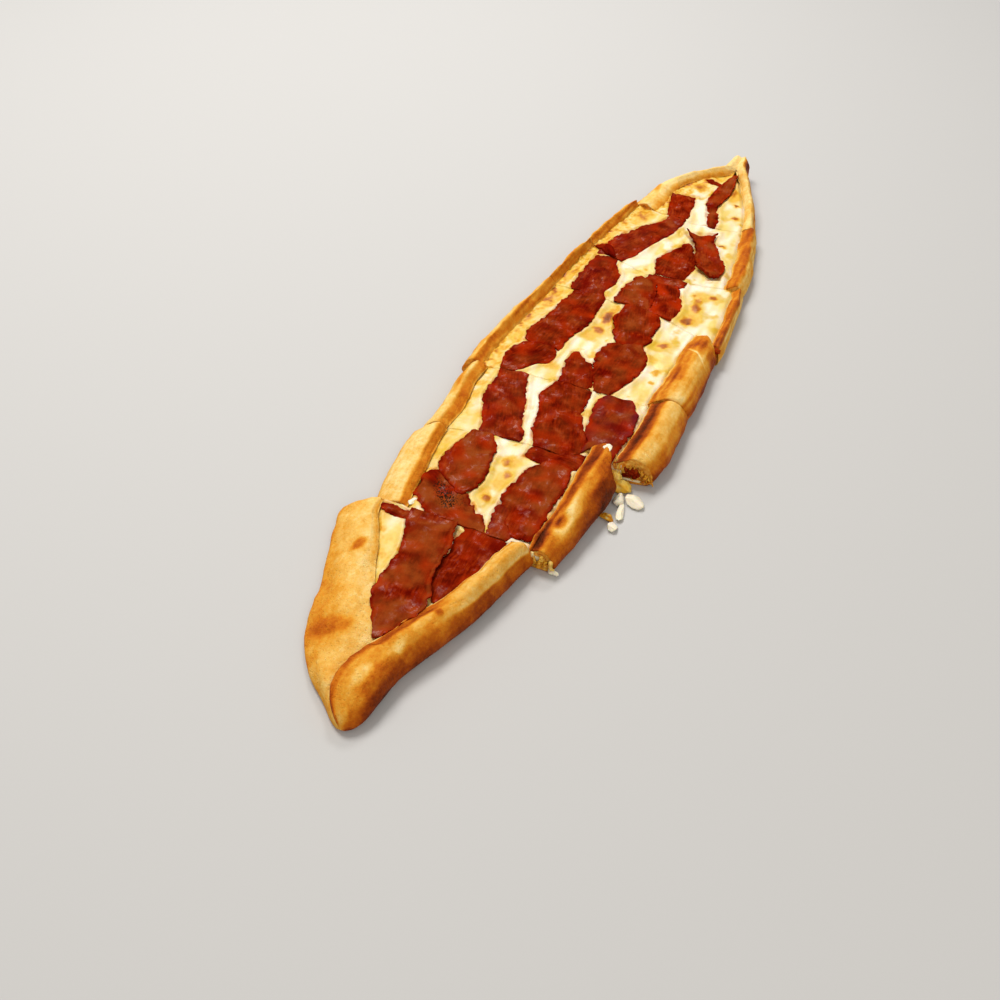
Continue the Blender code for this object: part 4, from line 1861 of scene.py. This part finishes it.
BEEF = {
    1: (
        BeefSlice(
            "beef_1_under", (5, -191), (3, -149), (3, 7, 9, 9, 9, 9, 9), (3, 8, 9.5, 11, 12, 14.5, 15),
            haze=0.1,
        ),
        BeefSlice(
            "beef_1_wide", (-10, -220), (-21, -148), (1, 6, 10.5, 9, 8, 9.5, 13),
            (5, 14, 17, 13.8, 14, 14.5, 13), level=0.9, curl=(0.5, 2.4), haze=1, tear=0.8, pale=(0, 1),
        ),
        BeefSlice(
            "beef_1_scrap", (-47, -149.5), (-33, -150.5), (2.5, 3.5, 4, 4, 4, 4, 3.5),
            (2, 3, 3, 3, 3, 2.5, 2),
        ),
    ),
    2: (
        BeefSlice(
            "beef_2_peppered", (5, -146), (-38, -119), (4, 8.4, 12.4, 15, 15, 13.5, 6),
            (2, 5.9, 6.9, 7.9, 7.9, 7, 4.5), level=0.3, haze=1.3,
            pepper=spots((-26, -129, 5, 12, 1, -43), (-16, -131, 7, 7, 0.7)), tear=1.4,
        ),
        BeefSlice(
            "beef_2_left", (-18, -125), (-30, -83), (3, 8.5, 14, 15, 12.5, 9.5, 5),
            (3, 8, 10, 10.5, 11, 11.5, 8), level=0.4, tilt=(1, 0), haze=0.8,
        ),
        BeefSlice(
            "beef_2_small", (12, -149), (7, -123), (3, 4.5, 5, 5.5, 6, 6, 5), (2, 5, 8, 11.5, 11.5, 8, 3),
            level=0.2, haze=0.5, purple=0.3,
        ),
        BeefSlice(
            "beef_2_strip", (-1, -81), (26, -80), (4, 6, 7, 8, 8, 9, 9), (5, 6, 6, 5, 5, 5, 4), haze=0.2,
        ),
        BeefSlice(
            "beef_2_right", (17, -138.6), (14.5, -83.5), (3, 8, 14, 14.5, 12.5, 10.5, 3),
            (11, 11.5, 10.5, 11, 12, 11.5, 9), level=0.7, haze=0.75,
        ),
    ),
    3: (
        BeefSlice(
            "beef_3_left", (-14, -87), (-38, -24), (4, 13, 13.5, 14, 14.5, 10.5, 7.5),
            (5, 10, 8.5, 9.3, 9, 8.5, 8), haze=0.35, purple=0.2,
        ),
        BeefSlice(
            "beef_3_middle", (13, -79), (-5, -21.5), (12, 14, 15.5, 14.5, 14.5, 15, 8.5),
            (11, 14.5, 13, 10, 10, 12, 13), haze=0.35,
        ),
        BeefSlice(
            "beef_3_right", (27, -62), (27, -14), (4, 9.5, 10.5, 12, 13, 10, 3),
            (13, 13, 13.5, 13, 11.5, 6, 2), level=0.6, haze=0.7, purple=0.9,
        ),
    ),
    4: (
        BeefSlice(
            "beef_4_point", (-3, -21.5), (-13, 5), (9.5, 8.5, 8, 7, 6, 5, 3),
            (11, 11, 11, 10.5, 9, 5.5, 2.5), haze=0.3,
        ),
        BeefSlice(
            "beef_4_near_left", (-42, -25), (-28, 4), (4, 9.5, 12, 13.5, 12, 9, 5), (4, 5, 6, 7, 10, 9, 5),
            haze=0.3, curl=(1.2, 0.4),
        ),
        BeefSlice(
            "beef_4_left", (-33, 4), (-31, 61), (12, 15, 12.5, 11, 10.5, 9.5, 9),
            (10, 10, 11.5, 14, 13.5, 13, 12), level=0.4, haze=0.3,
        ),
        BeefSlice(
            "beef_4_oval", (13, -19), (12, 31), (4, 9, 12.5, 14.5, 15, 12, 4), (6, 9, 12, 13.5, 13, 10, 4),
            level=0.5, haze=0.6,
        ),
        BeefSlice(
            "beef_4_middle", (12, 26), (1, 62), (9, 10, 12, 12, 13, 10, 8), (7, 11, 11.5, 14, 15, 13, 10),
            level=0.9, haze=0.5,
        ),
    ),
    5: (
        BeefSlice(
            "beef_5_middle", (1, 61), (-9, 93), (15, 14, 13, 11, 9, 6, 3), (8, 9, 10, 11, 11, 10, 4),
            level=0.8, haze=0.7,
        ),
        BeefSlice(
            "beef_5_red", (18, 58), (9, 94.5), (6, 9, 9, 9, 8, 7, 6), (5, 8, 10, 10, 9, 8, 6), haze=0.1,
            glow=0.9,
        ),
        BeefSlice(
            "beef_5_far", (-5, 96), (17, 99), (3, 4, 5, 6, 6, 5, 4), (4, 6, 7, 6.5, 6, 5, 4), level=0.2,
            haze=0.4,
        ),
        BeefSlice(
            "beef_5_left", (-31, 61), (-36, 104), (9.5, 12, 11.5, 11, 10, 9, 8),
            (12, 9, 12, 13.5, 13, 9, 7), haze=0.25, purple=0.3,
        ),
    ),
    6: (
        BeefSlice(
            "beef_6_dark", (-47, 110), (-33, 119), (3, 5, 6, 6, 6, 5, 3), (3, 5, 6, 6, 6, 5, 3), level=0.4,
            haze=0,
        ),
        BeefSlice(
            "beef_6_left", (-35, 106), (-12, 176), (5, 12, 13, 11.5, 8, 5, 6), (8, 10, 9.5, 9.5, 10, 9, 5),
            haze=0.3, purple=0.25,
        ),
        BeefSlice(
            "beef_6_near", (6, 104), (4, 143), (9, 11, 13, 12, 9, 5, 3), (10, 11, 12, 11, 9, 6, 3),
            haze=0.2,
        ),
        BeefSlice(
            "beef_6_curled", (30, 113), (9, 160), (2, 8, 8.5, 8.4, 8, 9, 12), (5.5, 8.5, 9, 7, 5.2, 6, 9.5),
            level=1.4, curl=(2.6, 0.8), haze=0.5, glow=0.4, tear=1.3, ends=(0.5, -5), pale=(1, 0),
        ),
    ),
    7: (
        BeefSlice(
            "beef_7_square", (-13.2, 173), (-20, 201), (8, 8, 8, 8, 8, 8, 8), (6.5, 7, 7, 8, 8.5, 9, 9),
            level=0.3, haze=0.1, tear=0.6, ends=(0.3, 0),
        ),
        BeefSlice(
            "beef_7_thin", (11, 168), (2, 200), (2.5, 3.5, 4, 4.5, 4.5, 4, 3), (2.5, 3.5, 4, 4, 3.5, 3, 3),
            haze=0.5, glow=0.6, tear=0.7,
        ),
        BeefSlice(
            "beef_7_tip", (3, 196), (3.5, 242), (5, 6, 6, 5.5, 4.5, 3, 1), (3, 4, 5, 5, 4.5, 3, 1.5),
            level=0.6, haze=0.6, curl=(0.8, 1.5), tear=0.6, pale=(0, 1),
        ),
        BeefSlice(
            "beef_7_scrap", (-11, 229), (-3, 226), (2, 3, 3, 3, 3, 2, 2), (2, 3, 3, 3, 3, 2, 2), haze=0.2,
        ),
    ),
}

CHEESE_SPOTS = spots(
    (-8, -94, 2.4, 3, 0.4, 0, 0.4), (-3, -102, 2.4, 2.6, 0.62, 0, 0.4), (-5, -122, 2.6, 2.6, 0.74, 0, 0.4),
    (-11, 32, 4.4, 3, 0.72, 30, 0.3), (-11, 46, 2.6, 7, 0.66, -10, 0.3), (-14, 25, 4, 4, 0.28),
    (-11, 44, 4.5, 8, 0.3, -10), (-10, 56, 3, 5, 0.36), (-21, -11, 5, 3, 0.28), (-4, 8, 3, 3, 0.28),
    (34, 1, 2, 2, 0.4), (-55, 75, 4, 12, 0.28), (-49, 50, 4, 10, 0.28), (-6, -92, 5, 5, 0.28),
    (-4, -108, 5, 6, 0.25), (-8, -118, 3, 4, 0.25), (28, 35, 4, 2.6, 0.75, -20, 0.4), (26, 20, 5, 4, 0.25),
    (33, 10, 3, 3, 0.45, 0, 0.3), (32, 79, 3.4, 4, 0.8, 0, 0.5), (38, 94, 2.8, 2.8, 0.8, 0, 0.4),
    (31, 86, 2.6, 4, 0.5), (30, 92, 6, 6, 0.22), (33, 68, 6, 7, 0.28), (44, 108, 2.6, 2.6, 0.4),
    (31, 65, 3.6, 4.6, 0.6), (20.5, 189, 3, 2, 0.8, -20, 0.3), (16.5, 205.5, 1.6, 1.6, 0.95),
    (12, 215, 4, 8, 0.25), (24, 152, 2, 1.6, 0.95, 0, 0.8), (1, 183, 4, 17, -1.4, -28, 1),
    (-30, 172, 3, 7, -1, 30, 0.8), (-34, 164, 5, 9, 0.36), (-7, 136, 3, 9, -1, -28, 0.7),
    (-17, 107.5, 4.5, 10, -1.3, 49, 0.8), (-25, 217, 5, 4, 0.5, -30), (-13, 218, 5.5, 5.5, 0.42),
    (8.8, 220, 2.6, 6, 0.45), (22, 146, 3.6, 5, -0.8, 0, 0.6), (-12, -55, 3.4, 26, -0.7, -20),
    (-3, -140, 3, 12, -0.7, -10),
)

LOOSE = (
    Morsel("crumb_chunk", 57.2, -82.2, 0, (4.9, 3.3, 2.1), 20, chips=11),
    Morsel("crumb_sliver", 54.3, -92, 0, (2.3, 7.8, 1.8), -12, chips=14),
    Morsel("crumb_small", 54.8, -104, 0, (2.3, 2.8, 1.8), chips=10),
    Morsel("crumb_corner", 50.4, -84.8, 0, (2.7, 2.9, 2.4), 40, chips=9),
    Morsel("crumb_toasted", 49.8, -98, 0, (3.6, 2.4, 1.8), 10, toasted=0.6, chips=9),
    Morsel("cheese_bit_1", -36.3, -140, 9, (1.5, 2.2, 0.7), 15),
    Morsel("cheese_curl_1", 41.5, -144.4, 0.3, (2.4, 1, 1.5)),
    Morsel("cheese_curl_2", 31, -144.6, 6.5, (0.9, 0.8, 2.6), toasted=0.2),
    Morsel("cheese_curl_3", 27.5, -144.4, 8, (2.4, 0.9, 0.9), toasted=0.1),
    Morsel("cheese_fold_2", 44.6, -69.8, 2.5, (1, 1, 4.6), toasted=0.1),
    Morsel("cheese_fold_3", 50, -70.6, 2.8, (5.6, 0.8, 0.7), -8, toasted=0.1),
    Morsel("cheese_lump_2", 47.8, -75.6, 0.1, (5.2, 4.2, 2.8), 20, toasted=0.3, olive=0.8),
    Morsel("cheese_lump_3", 44.6, -74.2, 3.4, (2.6, 2.2, 3), 0, toasted=0.2, olive=0.7),
    Morsel("cheese_bit_2", 36.6, -69.2, 17.4, (2.2, 2.5, 1.3), 30, chips=9),
    Morsel("cheese_bit_4", 57, 24, 8.6, (1.3, 2.6, 1), 10),
    Morsel("beef_bit_2", 51.5, -69.5, 7, (2.8, 1.2, 1.9), 0, Stuff.BEEF),
    Morsel("beef_curl_6", -37.5, 110.5, 9.9, (6.4, 2.3, 2.2), 37, Stuff.BEEF, toasted=0.8),
    Morsel("beef_bit_4", 56.5, 44, 9.6, (2.2, 2.2, 1.2), 0, Stuff.BEEF),
    TornStrings(
        "torn_strings_1", ((25, -144.2, 11.5), (41, -143.8, 10.5)), ((29, -144.6, 2), (43, -144, 1)), 18, 3,
    ),
    TornStrings(
        "torn_strings_2", ((44, -69.2, 13.5), (60, -68.2, 11)), ((46, -69.6, 2), (63, -68.6, 1)), 22, 8,
        # browner strings: partly painted warm light in the shade of the cut face
        toasted=0.5,
    ),
    TornStrings(
        "torn_strings_3", ((40.5, -66.8, 16), (43, -67.8, 14)), ((44, -76.5, 6.5), (47, -77, 4.5)), 6, 4,
        thickness=(0.2, 0.5), bow=0.4, toasted=0.05,
    ),
    TornStrings(
        "torn_beef_2", ((45.5, -69.8, 12), (54, -69.4, 10)), ((46.5, -70.2, 4), (55, -69.8, 3.5)), 12, 5,
        thickness=(0.6, 1.5), bow=0.6, toasted=0.3, stuff=Stuff.BEEF,
    ),
)


def main() -> None:
    """Build the studio, then the pide slice by slice, then the loose bits."""
    logging.basicConfig(level=logging.INFO, format="%(message)s")
    Studio().build()
    Camera().build()
    effects = SharedEffects()
    finishes = {stuff: stuff.material(effects) for stuff in Stuff}
    for bread in BREAD:
        bread.build(finishes)
        climb = 1.0 if bread.number >= 4 else 0.5
        CheeseLayer(bread, BEEF[bread.number], CHEESE_SPOTS, climb).build(finishes)
        for beef in BEEF[bread.number]:
            beef.build(finishes, bread)
    for bit in LOOSE:
        bit.build(finishes)


if __name__ == "__main__":
    main()
